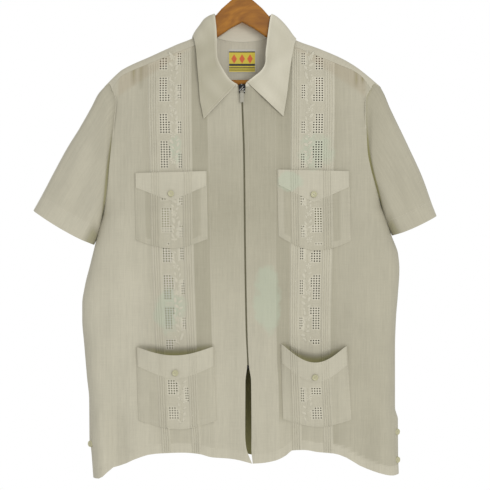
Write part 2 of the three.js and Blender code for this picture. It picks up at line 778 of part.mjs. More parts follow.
function addFacing(side) {
  const columns = ZIP_TO_BAND.filter((share) => share > FACING_START_SHARE && share <= FACING_WIDTH_SHARE)
    .map((share) => ({ stretch: 0, share }));
  const grid = behindGrid(frontGrid(side, columns), WALL + FACING_GAP);
  grid[0].forEach((p) => p.setZ(p.z - FACING_BELOW_NECK));
  const ordered = side.sign < 0 ? grid : grid.map((row) => [...row].reverse());
  addMesh("facing_" + side.name, wallGeometry(ordered, { wall: THIN_WALL }), COLORS.facing);
}

function zipMiddle(z) {
  return (SIDES.right.zipX(z) + SIDES.left.zipX(z)) / 2;
}

function addZipTape(side) {
  const top = TOP_EDGE.right[0].z - 1;
  const edges = [SEAM_GAP / 2, ZIP_TAPE_WIDTH / 2, ZIP_TAPE_WIDTH - ZIP_TAPE_EDGE];
  const grid = [];
  for (let i = 0; i <= ZIP_TAPE_STEPS; i += 1) {
    const z = mix(top, ZIP_END_Z, i / ZIP_TAPE_STEPS);
    const row = edges.map((edge) => {
      const under = side.zipX(z) + side.sign * Math.max(0, edge - ZIP_HALF_GAP);
      const y = frontY(side, under, z) + WALL + ZIP_TAPE_GAP;
      return point(zipMiddle(z) + side.sign * edge, y, z);
    });
    grid.push(side.sign < 0 ? row : row.reverse());
  }
  addMesh("zip_tape_" + side.name, wallGeometry(grid, { wall: THIN_WALL }), COLORS.sleeve);
}

const BACK_SHARES = [0, 0.012, 0.035, 0.08, 0.15, 0.24, 0.33, 0.42, 0.5,
  0.58, 0.67, 0.76, 0.85, 0.92, 0.965, 0.988, 1];

function backHemZ(x) {
  return (x < HEM_MIDDLE_X ? SIDES.right.hemZ(x) : SIDES.left.hemZ(x)) + BACK_HEM_RISE;
}

function backGrid(shares) {
  const columnAt = (share, z) => mix(SIDES.right.backEdgeX(z), SIDES.left.backEdgeX(z), share);
  const armpit = (share) => mix(SIDES.right.armpitZ, SIDES.left.armpitZ, share);
  const heights = shares.map((share) => {
    const hem = meet(HEM_GUESS_Z, (z) => backHemZ(columnAt(share, z)));
    return rowHeights(YOKE_BACK_Z - SEAM_GAP, armpit(share), hem);
  });
  return heights[0].map((_, r) => shares.map((share, c) => {
    const z = heights[c][r];
    const x = columnAt(share, z);
    return point(x, backY(x, z), z);
  }));
}

function addBack() {
  const inside = (p, outer, r, c) => {
    p.y = Math.max(p.y, SIDE_SEAM_HALF_GAP);
    const onEdge = c === 0 || c === BACK_SHARES.length - 1;
    const side = c === 0 ? SIDES.right : SIDES.left;
    if (onEdge && outer.z > side.armpitZ) p.x = outer.x;
  };
  addMesh("back", wallGeometry(backGrid(BACK_SHARES), { inside }), COLORS.cloth);
}

// The yoke: two arches over the hanger and the stretch between them behind the neck
const ARCH_SHARES = [-1, -0.75, -0.45, 0, 0.45, 0.75, 1];
const YOKE_BACK_ROWS = [0.2, 0.45, 0.72, 1];

function yokeColumn(top, below) {
  return [...top, ...YOKE_BACK_ROWS.map((share) => below(share))];
}

function addYoke() {
  const behindNeck = (p, footX) => (share) => {
    const x = mix(p.x, footX, share);
    const y = mix(p.y, backY(footX, YOKE_BACK_Z), share ** YOKE_BACK_POWER);
    return point(x, y, mix(p.z, YOKE_BACK_Z, share));
  };
  const shoulderColumn = (side, step) => {
    const top = ARCH_SHARES.map((share) => {
      const neck = acrossShare(YOKE_NECK_X[side.name], share);
      const arm = acrossShare(YOKE_ARM_X[side.name], share);
      return shoulderPoint(side, mix(neck, arm, step), share);
    });
    const footX = mix(YOKE_NECK_X[side.name].back, side.backEdgeX(YOKE_BACK_Z), step);
    return yokeColumn(top, behindNeck(top.at(-1), footX));
  };
  const neckColumn = ({ x, y, z }) => {
    const p = point(x, y, z);
    return yokeColumn(ARCH_SHARES.map(() => p), behindNeck(p, x));
  };
  const between = BACK_NECK.slice(1, -1);
  const columns = [
    ...[...YOKE_STEPS].reverse().map((step) => shoulderColumn(SIDES.right, step)),
    ...between.map(neckColumn),
    ...YOKE_STEPS.map((step) => shoulderColumn(SIDES.left, step)),
  ];
  const grid = columns[0].map((_, r) => columns.map((column) => column[r]));
  const arches = ARCH_SHARES.length - 1;
  const shoulders = YOKE_STEPS.length - 1;
  const keep = (r, c) => r >= arches || c < shoulders || c > shoulders + between.length;
  const inside = (p, outer, r, c) => {
    if (r === 0) p.z = outer.z;
    if (c === 0 || c === columns.length - 1) p.x = outer.x;
  };
  addMesh("yoke", wallGeometry(grid, { keep, inside }), COLORS.cloth);
}

// The armhole as a loop of places: over the shoulder, down the front, and up the back.
// round runs from 0 at the top of the shoulder to 1 at the armpit.
function armholeLoop(side) {
  const frontTop = side.armTopZ;
  const places = [];
  for (const share of ARCH_SHARES.filter((v) => v < 0).reverse()) {
    const p = shoulderPoint(side, acrossShare(YOKE_ARM_X[side.name], share), share);
    places.push({ p, round: -share * SHOULDER_ROUND, front: true });
  }
  for (const share of ROWS_ABOVE_ARMPIT.slice(1)) {
    const z = mix(frontTop - SEAM_GAP, side.armpitZ, share);
    const p = point(side.frontEdgeX(z), side.frontEdgeY(z), z);
    places.push({ p, round: mix(SHOULDER_ROUND, 1, share), front: true });
  }
  places.push({ p: point(side.backEdgeX(side.armpitZ), 0, side.armpitZ), round: 1, front: true });
  for (const share of [...ROWS_ABOVE_ARMPIT].reverse()) {
    const z = mix(YOKE_BACK_Z - SEAM_GAP, side.armpitZ, share);
    const p = point(side.backEdgeX(z), side.backEdgeY(z), z);
    places.push({ p, round: mix(BACK_ROUND, 1, share), front: false });
  }
  for (const share of ARCH_SHARES.filter((v) => v > 0).reverse()) {
    const p = shoulderPoint(side, acrossShare(YOKE_ARM_X[side.name], share), share);
    places.push({ p, round: share * SHOULDER_ROUND, front: false });
  }
  places.push({ p: shoulderPoint(side, YOKE_ARM_X[side.name].top, 0), round: 0, front: true });
  return places;
}

function cuffPoint(side, round, front) {
  const cuff = CUFF[side.name];
  const bow = cuff.bow * Math.sin(Math.PI * round);
  const x = mix(cuff.tipX, cuff.endX, round);
  const z = mix(cuff.tipZ, cuff.endZ, round) + bow;
  const depth = cuff.depth * (1 - Math.abs(2 * round - 1) ** CUFF_FLATNESS) ** (1 / CUFF_ROUNDNESS);
  return point(x, front ? -depth : depth, z);
}

const SLEEVE_STEPS = [0, 0.08, 0.18, 0.33, 0.5, 0.68, 0.86, 1];

function sleeveGrid(side, loop, steps) {
  const topX = lineOf(SLEEVE_TOP[side.name], "t", "x");
  const topZ = lineOf(SLEEVE_TOP[side.name], "t", "z");
  const headTop = point(SLEEVE_TOP[side.name][0].x, 0, SLEEVE_TOP[side.name][0].z);
  const cuffTop = cuffPoint(side, 0, true);
  return steps.map((t) => loop.map(({ p, round, front }) => {
    const end = cuffPoint(side, round, front);
    const grown = p.clone().lerp(end, t);
    const line = headTop.clone().lerp(cuffTop, t);
    const share = (1 - round) ** 2;
    grown.x += (topX(t) - line.x) * share + side.sign * ARMHOLE_GAP * (1 - t);
    grown.z += (topZ(t) - line.z) * share - HEAD_DROP * clamp01(1 - round / HEAD_ROUND) * (1 - t);
    const body = Math.sin(Math.PI * t) * Math.sin(Math.PI * round);
    const lift = foldLift(SLEEVE_FOLDS[side.name], grown.x, grown.z) * body;
    grown.y += (front ? -1 : 1) * (lift + SLEEVE_FULLNESS * body);
    return grown;
  }));
}

function addSleeve(side) {
  const grid = sleeveGrid(side, armholeLoop(side), SLEEVE_STEPS);
  const ordered = side.sign > 0 ? grid : grid.map((row) => [...row].reverse());
  const inside = (p, outer, r) => {
    if (r === 0) p.x = outer.x;
  };
  addMesh("sleeve_" + side.name, wallGeometry(ordered, { ring: true, inside }), COLORS.sleeve);
}

// The stations of the collar from the right end of the zip round the neck to the left end
function collarStations() {
  const station = (row, seam) => ({
    seam,
    fold: point(row.fx, row.fy, row.fz),
    edge: point(row.lx, row.ly, row.lz),
  });
  const oneSide = (side) => [
    ...COLLAR_FRONT[side.name].map((row) => station(row, point(row.sx, row.sy, row.sz))),
    ...COLLAR_SHOULDER[side.name].map((row) =>
      station(row, shoulderPoint(side, acrossShare(YOKE_NECK_X[side.name], row.share), row.share))),
  ];
  const back = COLLAR_BACK.map((row) => station(row, point(row.x, backNeckY(row.x), backNeckZ(row.x))));
  return [...oneSide(SIDES.right), ...back, ...oneSide(SIDES.left).reverse()];
}

// The direction that a station of the stand faces, away from the neck
function stationNormal(stations, i) {
  const before = stations[Math.max(0, i - 1)];
  const after = stations[Math.min(stations.length - 1, i + 1)];
  const along = after.fold.clone().add(after.seam).sub(before.fold).sub(before.seam);
  const rise = stations[i].fold.clone().sub(stations[i].seam);
  return rise.cross(along).normalize();
}

function addCollar() {
  const stations = collarStations();
  const stand = stations.map(({ seam, fold }, i) => {
    const n = stationNormal(stations, i);
    return STAND_STEPS.map((share) => {
      const inset = mix(STAND_INSET.foot, STAND_INSET.fold, share);
      const rise = fold.clone().sub(seam).normalize();
      return seam.clone().lerp(fold, share).addScaledVector(rise, inset).addScaledVector(n, -SEAM_GAP / 2);
    });
  });
  addMesh("collar_stand", wallGeometry(stand, {}), COLORS.collar);
  const leaf = stations.map(({ fold, edge }, i) => {
    const n = stationNormal(stations, i);
    const from = fold.clone().addScaledVector(n, LEAF_LIFT);
    from.z += LEAF_RISE;
    return LEAF_STEPS.map((share) => {
      const p = from.clone().lerp(edge, share);
      const bow = LEAF_BOW.most * Math.sin(Math.PI * share ** LEAF_BOW.power) * leafBow(i, stations.length);
      p.addScaledVector(n, bow);
      return clearOfShirt(p);
    });
  });
  addMesh("collar_leaf", wallGeometry(leaf, { wall: LEAF_WALL }), COLORS.collar);
}

// The leaf bows out most over the shoulders and lies nearly flat in front
function leafBow(i, count) {
  const share = Math.abs((2 * i) / (count - 1) - 1);
  return mix(LEAF_BOW.inFront, 1, Math.exp(-(((share - LEAF_BOW.at) / LEAF_BOW.width) ** 2)));
}

// A point of the leaf, moved out where it would touch the front, the shoulder or the back
function clearOfShirt(p) {
  const side = p.x < 0 ? SIDES.right : SIDES.left;
  const reach = Math.abs(p.x);
  if (p.z < side.topZ(p.x) && p.y < 0) p.y = Math.min(p.y, frontY(side, p.x, p.z) - LEAF_CLEARANCE);
  const onShoulder = reach > Math.abs(YOKE_NECK_X[side.name].back);
  if (onShoulder && p.z > side.topZ(p.x)) {
    const q = clamp01(p.y < 0 ? p.y / side.topY(p.x) : p.y / side.backY(p.x));
    const surface = shoulderPoint(side, p.x, p.y < 0 ? -q : q).z;
    p.z = Math.max(p.z, surface + LEAF_SHOULDER_CLEARANCE);
  }
  return p;
}

// A place on a pocket: across from its inner to its outer top corner, down from the rim to the point
function pocketPoint(pocket, across, down, lift) {
  const side = SIDES[pocket.side];
  const belly = 1 - (2 * across - 1) ** 2;
  const topX = mix(pocket.topX[0], pocket.topX[1], across);
  const lowX = mix(pocket.lowX[0], pocket.lowX[1], across);
  const topZ = mix(pocket.topZ[0], pocket.topZ[1], across) - pocket.dip * belly ** POCKET_DIP_POWER;
  const pointed = 1 - Math.abs(2 * across - 1) ** POCKET_POINT_POWER;
  const lowZ = mix(pocket.lowZ[0], pocket.lowZ[1], across) - pocket.point * pointed;
  const x = mix(topX, lowX, down);
  const z = mix(topZ, lowZ, down);
  const gape = pocket.gape * belly ** POCKET_GAPE_POWERS.across * (1 - down) ** POCKET_GAPE_POWERS.down;
  return point(x, frontY(side, x, z) - lift - gape, z);
}

const POCKET_ACROSS = [0, 0.07, 0.18, 0.3, 0.42, 0.5, 0.58, 0.7, 0.82, 0.93, 1];
const POCKET_DOWN = [0, 0.12, 0.26, 0.42, 0.6, 0.8, 1];
const BAND_DOWN = [0, 0.5, 1];

function addPocket(name, pocket) {
  const grid = POCKET_DOWN.map((down) => POCKET_ACROSS.map((across) =>
    pocketPoint(pocket, 1 - across, down, POCKET_LIFT)));
  addMesh(name, wallGeometry(grid, {}), COLORS.pocket);
  const height = pocket.topZ[0] - pocket.lowZ[0];
  const bandShare = (across) => mix(pocket.bandPoint, pocket.bandSide, Math.abs(2 * across - 1)) / height;
  const bandAcross = (across) => mix(1 - POCKET_BAND_EDGE_SHARE, POCKET_BAND_EDGE_SHARE, across);
  const band = BAND_DOWN.map((down) => POCKET_ACROSS.map((across) =>
    pocketPoint(pocket, bandAcross(across), down * bandShare(across), POCKET_BAND_LIFT)));
  addMesh(name.replace("pocket", "pocket_band"), wallGeometry(band, { wall: THIN_WALL }), COLORS.pocket);
  const down = (pocket.bandPoint - BUTTON_FROM_POINT) / height;
  const seat = pocketPoint(pocket, 0.5, down, POCKET_BAND_LIFT);
  const above = pocketPoint(pocket, 0.5, down - BUTTON_TILT_SHARE, POCKET_BAND_LIFT);
  const tilt = Math.atan2(seat.y - above.y, above.z - seat.z);
  seat.y -= POCKET_BUTTON_GAP;
  addButton(name.replace("pocket", "button"), seat, 0, tilt);
}

// A button is a flat disc with a raised rim, its back on the cloth and its face turned to -Y or round Z
function addButton(name, seat, turn, tilt = 0) {
  const { radius, thick, rim, dish, facets } = BUTTON;
  const profile = [[0, 0], [radius - 0.5, 0], [radius, 0.5], [radius, thick - 0.3], [radius - 0.6, thick],
    [radius - rim - 0.4, thick - 0.1], [radius - rim - 1, thick - dish], [0, thick - dish]];
  const geometry = new THREE.LatheGeometry(profile.map(([x, y]) => new THREE.Vector2(x, y)), facets);
  geometry.rotateX(Math.PI);
  const mesh = addMesh(name, geometry, COLORS.button, 0.35);
  mesh.position.copy(seat);
  mesh.rotation.set(tilt, 0, turn);
}

const VENT_BUTTONS = { button_vent_right: { side: "right", z: -856 },
  button_vent_left_upper: { side: "left", z: -835 }, button_vent_left_lower: { side: "left", z: -884 } };

function addVentButtons() {
  for (const [name, { side: sideName, z }] of Object.entries(VENT_BUTTONS)) {
    const side = SIDES[sideName];
    const x = side.frontEdgeX(z) - side.sign * VENT_BUTTON_INSET;
    const inner = side.frontEdgeX(z) - side.sign * VENT_BUTTON_SLOPE_INSET;
    const y = frontY(side, x, z);
    const slope = Math.atan2(frontY(side, inner, z) - y, -side.sign * Math.abs(inner - x));
    const turn = side.sign < 0 ? slope : slope + Math.PI;
    const out = point(Math.sin(turn), -Math.cos(turn), 0);
    const seat = point(x, y, z).addScaledVector(out, SEAM_GAP);
    addButton(name, seat, turn);
  }
}

function addLabel() {
  const { x0, x1, z0, z1, wall } = LABEL;
  const steps = [0, 0.25, 0.5, 0.75, 1];
  const grid = steps.map((down) => steps.map((across) => {
    const x = mix(x1, x0, across);
    const z = mix(z0, z1, down);
    return point(x, yokeInsideY(x, z) - SEAM_GAP - wall, z);
  }));
  addMesh("label", wallGeometry(grid, { wall }), COLORS.label);
}

function yokeInsideY(x, z) {
  const share = clamp01((backNeckZ(x) - z) / (backNeckZ(x) - YOKE_BACK_Z));
  return mix(backNeckY(x), backY(x, YOKE_BACK_Z), share ** YOKE_BACK_POWER) - WALL;
}

// An outline in X and Z, drawn through to its depth along Y and standing with its back at y
function plateGeometry(shape, depth, y, bevel = 0) {
  const geometry = new THREE.ExtrudeGeometry(shape, {
    depth: depth - 2 * bevel,
    bevelEnabled: bevel > 0,
    bevelSize: bevel,
    bevelOffset: -bevel,
    bevelThickness: bevel,
    bevelSegments: 2,
    curveSegments: 6,
  });
  geometry.rotateX(Math.PI / 2);
  geometry.translate(0, y - bevel, 0);
  return geometry;
}

function boxGeometry(x0, x1, y0, y1, z0, z1) {
  const geometry = new THREE.BoxGeometry(x1 - x0, y1 - y0, z1 - z0);
  geometry.translate((x0 + x1) / 2, (y0 + y1) / 2, (z0 + z1) / 2);
  return geometry;
}

function rodGeometry(radius, facets, length, x, y, z) {
  const geometry = new THREE.CylinderGeometry(radius, radius, length, facets);
  geometry.rotateZ(Math.PI / 2);
  geometry.translate(x, y, z);
  return geometry;
}

function addSliderAndPull() {
  const clothY = frontY(SIDES.right, -ZIP_HALF_GAP, SLIDER.topZ - SLIDER.height / 2);
  const half = SLIDER.width / 2;
  const foot = SLIDER.topZ - SLIDER.height;
  const shape = new THREE.Shape([
    new THREE.Vector2(-half, SLIDER.topZ - 3),
    new THREE.Vector2(-half + 2.5, SLIDER.topZ),
    new THREE.Vector2(half - 2.5, SLIDER.topZ),
    new THREE.Vector2(half, SLIDER.topZ - 3),
    new THREE.Vector2(half - 1.6, foot + 1),
    new THREE.Vector2(half - 2.8, foot),
    new THREE.Vector2(-half + 2.8, foot),
    new THREE.Vector2(-half + 1.6, foot + 1),
  ].reverse());
  const back = clothY - SLIDER.gap;
  const face = back - SLIDER.depth;
  const pivotY = face - PIVOT.stand;
  const postIn = PULL.width / 2 + POST.play;
  const postOut = postIn + POST.thick;
  let slider = solidOf(plateGeometry(shape, SLIDER.depth, back, SLIDER.bevel));
  for (const sign of [-1, 1]) {
    const x0 = Math.min(sign * postIn, sign * postOut);
    const x1 = Math.max(sign * postIn, sign * postOut);
    const post = boxGeometry(x0, x1, pivotY - POST.front, face + SLIDER.bevel,
      PIVOT.z - POST.halfHeight, PIVOT.z + POST.halfHeight);
    slider = slider.add(solidOf(post));
  }
  const barLength = 2 * postIn + 1;
  slider = slider.add(solidOf(rodGeometry(PIVOT.barRadius, PIVOT.facets, barLength, 0, pivotY, PIVOT.z)));
  addMesh("zip_slider", solidGeometry(slider), COLORS.black, 0.35, 0.6);

  const pull = new THREE.Shape();
  const neck = PULL.neckAngle;
  pull.absarc(0, 0, PULL.eyeOut, -Math.PI / 2 + neck, (3 * Math.PI) / 2 - neck, false);
  pull.lineTo(-PULL.thick / 2, -PULL.length);
  pull.lineTo(PULL.thick / 2, -PULL.length);
  pull.closePath();
  const eye = new THREE.Path();
  eye.absarc(0, 0, PULL.eyeIn, 0, 2 * Math.PI, true);
  pull.holes.push(eye);
  const settings = { depth: PULL.width, bevelEnabled: false, curveSegments: 8 };
  const geometry = new THREE.ExtrudeGeometry(pull, settings);
  geometry.rotateX(Math.PI / 2);
  geometry.rotateZ(Math.PI / 2);
  geometry.translate(-PULL.width / 2, 0, 0);
  const mesh = addMesh("zip_pull", geometry, COLORS.steel, 0.35, 0.8);
  mesh.position.set(0, pivotY, PIVOT.z);
}

function addZipBox() {
  const { halfWidth, halfHeight, front, back, drop, shift } = ZIP_BOX;
  const z = ZIP_END_Z - drop;
  const x = zipMiddle(ZIP_END_Z) + shift;
  const y = frontY(SIDES.right, x - 2, z);
  const box = boxGeometry(x - halfWidth, x + halfWidth, y - front, y + back, z - halfHeight, z + halfHeight);
  addMesh("zip_box", box, COLORS.black, 0.4, 0.5);
}

function addHanger() {
  const outline = [
    ...WOOD_HALF,
    { x: 0, z: WOOD_BOTTOM_Z },
    ...WOOD_HALF.slice(1).reverse().map(({ x, z }) => ({ x: -x, z })),
  ];
  const shape = new THREE.Shape(outline.map(({ x, z }) => new THREE.Vector2(x, z)));
  let wood = solidOf(plateGeometry(shape, WOOD.thick, WOOD.thick / 2, WOOD.bevel));
  for (const sign of [-1, 1]) {
    const length = BAR.holeEnd - BAR.holeStart;
    const x = sign * (BAR.holeStart + length / 2);
    const hole = rodGeometry(BAR.radius + WOOD.fit, BAR.facets, length, x, 0, BAR.z);
    wood = wood.subtract(solidOf(hole));
  }
  const around = HOOK.wire + WOOD.fit;
  const shankHole = new THREE.CylinderGeometry(around, around, HOOK.holeDepth, HOOK.holeFacets);
  shankHole.rotateX(Math.PI / 2);
  shankHole.translate(0, 0, HOOK.shankFoot - WOOD.fit + HOOK.holeDepth / 2);
  addMesh("hanger_wood", solidGeometry(wood.subtract(solidOf(shankHole))), COLORS.wood, 0.4);
  const bar = rodGeometry(BAR.radius, BAR.facets, 2 * BAR.halfLength, 0, 0, BAR.z);
  addMesh("hanger_bar", bar, COLORS.wood, 0.4);
}

function addHook() {
  const { bend, bendZ, shankFoot, shankTop } = HOOK;
  const arc = [];
  for (let degrees = HOOK_ARC.from; degrees <= HOOK_ARC.to; degrees += HOOK_ARC.step) {
    const angle = THREE.MathUtils.degToRad(degrees);
    arc.push(point(bend * Math.cos(angle), 0, bendZ + bend * Math.sin(angle)));
  }
  const shank = [point(0, 0, shankFoot), point(0, 0, shankTop - 8), point(0.6, 0, shankTop),
    point(5, 0, shankTop + 8), point(12.5, 0, shankTop + 15)];
  const path = new THREE.CatmullRomCurve3([...shank, ...arc], false, "centripetal");
  const section = new THREE.Shape();
  section.absarc(0, 0, HOOK.wire, 0, 2 * Math.PI, false);
  const geometry = new THREE.ExtrudeGeometry(section, { steps: 32, extrudePath: path, curveSegments: 4 });
  addMesh("hanger_hook", geometry, COLORS.steel, 0.3, 0.9);
}

addHanger();
addHook();
for (const side of Object.values(SIDES)) {
  addFront(side);
  addFacing(side);
  addZipTape(side);
  addSleeve(side);
}
addBack();
addYoke();
addCollar();
for (const [name, pocket] of Object.entries(POCKETS)) addPocket(name, pocket);
addVentButtons();
addLabel();
addSliderAndPull();
addZipBox();

export default shirt;
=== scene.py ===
import math

import bpy
import numpy as np
from mathutils import Matrix, Vector


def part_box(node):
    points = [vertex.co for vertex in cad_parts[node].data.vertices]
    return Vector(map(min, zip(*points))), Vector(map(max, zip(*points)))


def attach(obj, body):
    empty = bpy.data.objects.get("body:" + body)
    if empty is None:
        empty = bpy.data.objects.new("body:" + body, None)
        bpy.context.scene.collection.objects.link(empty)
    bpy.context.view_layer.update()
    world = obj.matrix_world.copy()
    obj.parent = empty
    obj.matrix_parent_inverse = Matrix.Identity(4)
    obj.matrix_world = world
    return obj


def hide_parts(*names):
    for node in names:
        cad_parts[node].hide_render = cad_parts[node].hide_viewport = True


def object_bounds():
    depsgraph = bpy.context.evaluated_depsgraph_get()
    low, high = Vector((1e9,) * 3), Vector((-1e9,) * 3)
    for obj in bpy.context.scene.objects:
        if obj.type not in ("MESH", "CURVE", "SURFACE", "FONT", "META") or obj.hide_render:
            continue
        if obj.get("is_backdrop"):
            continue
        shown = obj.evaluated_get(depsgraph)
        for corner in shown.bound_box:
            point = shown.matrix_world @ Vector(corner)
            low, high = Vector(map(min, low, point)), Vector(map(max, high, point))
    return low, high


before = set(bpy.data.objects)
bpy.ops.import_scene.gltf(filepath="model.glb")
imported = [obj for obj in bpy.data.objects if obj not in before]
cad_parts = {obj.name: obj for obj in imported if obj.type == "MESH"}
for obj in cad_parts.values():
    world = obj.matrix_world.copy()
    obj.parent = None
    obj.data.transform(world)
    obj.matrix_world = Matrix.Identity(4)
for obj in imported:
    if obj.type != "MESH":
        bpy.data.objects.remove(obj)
CAD_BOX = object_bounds()
MM = 0.001

# Cloth and seams
WALL = 0.6
SEAM_GAP = 0.3
SIDE_SEAM_HALF_GAP = 0.2
ARMHOLE_GAP = 0.4
HEAD_DROP = 0.8
TUCK_HEIGHT = 1.2
TUCK_FADE = 8
TUCKS_IN_GROUP = 4
TUCK_GROUP_SHARE = 0.22
SHARE_SLACK = 0.01
FACING_SHARES = (0.13, 0.68)
HEM_BAND = 17
HEM_BLUR = 2.4
HEM_STITCH = 1.5
BACK_HEM_RISE = 7
VENT_TOP_Z = -812
VENT_SPREAD = 5
VENT_LENGTH = 100
YOKE_BACK_Z = -236

# How pale the cloth looks: 0 where one sheer layer shows the dark inside and 1 where it lies double,
# below 0 where deep shade is painted in, and above 1 where threads are drawn together and where light is
# painted on the shaded insides at the neck
STRIP_TONE = 0.05
STRIP_FOOT_TONE = 0.72
STRIP_FADE = 24
BODY_TONES = {"right": (0.66, 1.0), "left": (0.45, 0.4)}
BODY_FADE = {"top": -330, "long": 350}
# Painted shade on the body along the band's outer edge
BAND_EDGE_SHADE = {"depth": 0.35, "wide": 9}
TUCK_TONE = 1.0
GROUND_TONE = 0.78
BELOW_BAND_TONE = 0.55
BACK_TONE = 0.75
# Painted shade on the back's inner face, so that the shirt's inside looks dark through holes and openings
BACK_INSIDE_PAINTED_SHADE = -2.6
# Painted light on the yoke's inner face, which lies in shade inside the neck
YOKE_INSIDE_PAINTED_LIGHT = 0.5
FACING_PIECE_TONE = 0.9
# Painted light: the collar stand is paler than double cloth, brightening the shaded inside of the neck
STAND_PAINTED_LIGHT = 1.6
FACING_TONES = {
    "right": {"top": 0.65, "middle": 0.08, "foot": 0.85},
    "left": {"top": 0.2, "middle": 0.1, "foot": 0.85},
}
FACING_FADE = {"foot": -860, "low": -700, "middle": -450, "top": -250}
# Painted shade on the front under a pocket, seen through the pocket's holes
BEHIND_POCKET_PAINTED_SHADE = -2.4
BAR_TONE = 1.75

# Shade where the cloth stands off or lies deep: behind a pocket's mouth and in the yoke's pleats
MOUTH_SHADE = 1.0
MOUTH_HOLLOW = 5
MOUTH_REACH = 17
MOUTH_FADE = 30
MOUTH_END_SHARE = 0.35
MOUTH_POWER = 0.6
PLEAT_SHADE = 0.9
PLEAT_DEPTH = 1.2
PLEAT_POWER = 0.6

# Lie of the sleeves: sunk beside the armhole, tucked in at its edge, against the body under the arm
ARMHOLE_VALLEY = {"depth": 4.5, "at": 0.035, "wide": 0.04, "start": 0.02, "round": 1.15, "power": 0.7}
# Painted shade along the armhole seam, close to it at the top and wider lower down
ARMHOLE_SHADE = {"depth": 1.25, "at": 2.2, "wide": 2.4, "lower_at": 6, "lower_wide": 5, "round": 0.16}
TUCK_IN = {"aside": 2.2, "behind": 1.6, "reach": 0.03, "ends": 0.1}
HEAD_REACH = 0.15
SLEEVE_HUG = {"depth": 4.5, "from": 0.8, "down": 0.8}
SLEEVE_BELLY = 3
SLEEVE_STEPS = 45
CUFF_POWERS = (2.8, 2.2)
LOWER_FROM = 0.3
# Painted shade under the arm, where the sleeve hangs against the body
UNDERARM_PAINTED_SHADE = {"tone": -0.51, "share": 0.9, "round": 0.8, "round_fade": 0.12, "down": 0.45, "down_fade": 0.3}
SLEEVE_TONES = {
    "right": {"head": 0.45, "middle": 0.8, "hem": 0.95},
    "left": {"head": 0.05, "middle": 0.4, "hem": 0.5},
}

# Drawn-thread work: how far apart its rows are, how tall a hole is, and where it ends
HOLE_ROW = 4.35
HOLE_HEIGHT = 2.3
HOLE_SHARE = 0.52
BAND_TOP_Z = -150
BAND_END_Z = -812
BAND_END_GAP = 6
ROWS_END_Z = -920

# Grids: the first guesses of a column's ends, the rounds that find them, and what counts as nought
TOP_GUESS = -190.0
LOW_GUESS = -880.0
END_ROUNDS = 12
LEVEL = 1e-6
TINY = 1e-9
BACK_GRID = (110, 90)

# The hanger as it shows through the cloth: its highest line, the line's fall, and the wood's size
WOOD_SHOW = {"top": -52, "fall": 0.66, "high": 42, "deep": 13, "half": 214}
WOOD_BLUR = {"top": 6, "foot": 10, "deep": 7, "end": 8}
YOKE_WOOD = {"share": 0.2, "flat": 0.9}

# Zip
ZIP_HALF_GAP = 1.6
ZIP_TAPE_WIDTH = 12
ZIP_TOP_Z = -230
ZIP_END_Z = -716
SLIDER_FOOT_Z = -240.5
TOOTH_PITCH = 2.0
TOOTH_HALF = (1.15, 0.55, 0.36)
TOOTH_ASIDE = 0.55
TAPE_ROWS = 150
TAPE_EDGES = (SEAM_GAP / 2, 1.2, 3, ZIP_TAPE_WIDTH / 2, ZIP_TAPE_WIDTH - 2)

# What lies behind a front: how much further from its inner face each is
BEHIND_FRONT = WALL + SEAM_GAP
FACING_GAP = 0.1
TEETH_GAP = 0.3
TAPE_GAP = 0.8
FACING_GRID = (120, 10)
FACING_ENDS = {"top": 4, "foot": 0.6}

# Buttons
BUTTON_RADIUS = 5.5
BUTTON_THICK = 2.2
TILT_STEP = 0.04

# Camera: the photo's middle and width at the front of the shirt, seen from this far away
VIEW_MIDDLE = (5.25, -35, -505.75)
VIEW_WIDTH = 857.5
VIEW_DISTANCE = 2600
SENSOR_WIDTH = 36


def table(names, *rows):
    """A list of rows with named columns."""
    return [dict(zip(names.split(), row)) for row in rows]


# Fronts: the edge along the zip, and the two edges of the embroidered band, at each height
FRONT_LINES = {
    "right": table(
        "z zip inner outer",
        (-140, -1.6, -90.1, -165.4),
        (-228, -1.6, -90.1, -165.4),
        (-350, 1.9, -88.5, -162.2),
        (-511, 3.7, -85.8, -158.4),
        (-655, 6.3, -81.5, -152.5),
        (-716, 8.9, -79, -149.5),
        (-745, 6, -77.6, -147.2),
        (-838, 5.6, -73.5, -140.9),
        (-860, 7.5, -72.6, -139.7),
        (-888, 17.6, -71.5, -138.5),
    ),
    "left": table(
        "z zip inner outer",
        (-140, 1.6, 87.5, 162.8),
        (-228, 1.6, 87.5, 162.8),
        (-350, 5.1, 86.6, 160.4),
        (-511, 6.9, 85.4, 157),
        (-655, 9.5, 84.5, 154),
        (-716, 12.1, 85.6, 155),
        (-745, 16, 86.4, 156),
        (-838, 16.6, 88.7, 158.2),
        (-860, 16.4, 89, 158.6),
        (-888, 18.6, 89.3, 159),
    ),
}

# Armholes: the front and the back edge of the opening at each height, down to the armpit
ARMHOLE = {
    "right": table(
        "z frontX frontY backX backY",
        (-232, -230, -10.8, -230, 11),
        (-240, -226, -14, -226.5, 14.5),
        (-252, -223.5, -17, -224, 18),
        (-285, -226, -21, -225, 23),
        (-322, -229, -24.5, -228, 26),
        (-366, -233, -26, -232, 27),
        (-409, -237, -23, -237, 23),
        (-436, -242, -14, -242, 14),
        (-453, -247, -0.2, -247, 0.2),
    ),
    "left": table(
        "z frontX frontY backX backY",
        (-230, 228, -10.8, 228, 11),
        (-241, 221, -14.5, 222, 14.5),
        (-255, 219.5, -17.5, 220, 18),
        (-290, 219, -21.5, 219.5, 23),
        (-339, 220.5, -25, 221, 26),
        (-370, 226, -26, 226, 27),
        (-395, 233, -23, 233, 23),
        (-420, 241, -14, 241, 14),
        (-437, 247, -0.2, 247, 0.2),
    ),
}

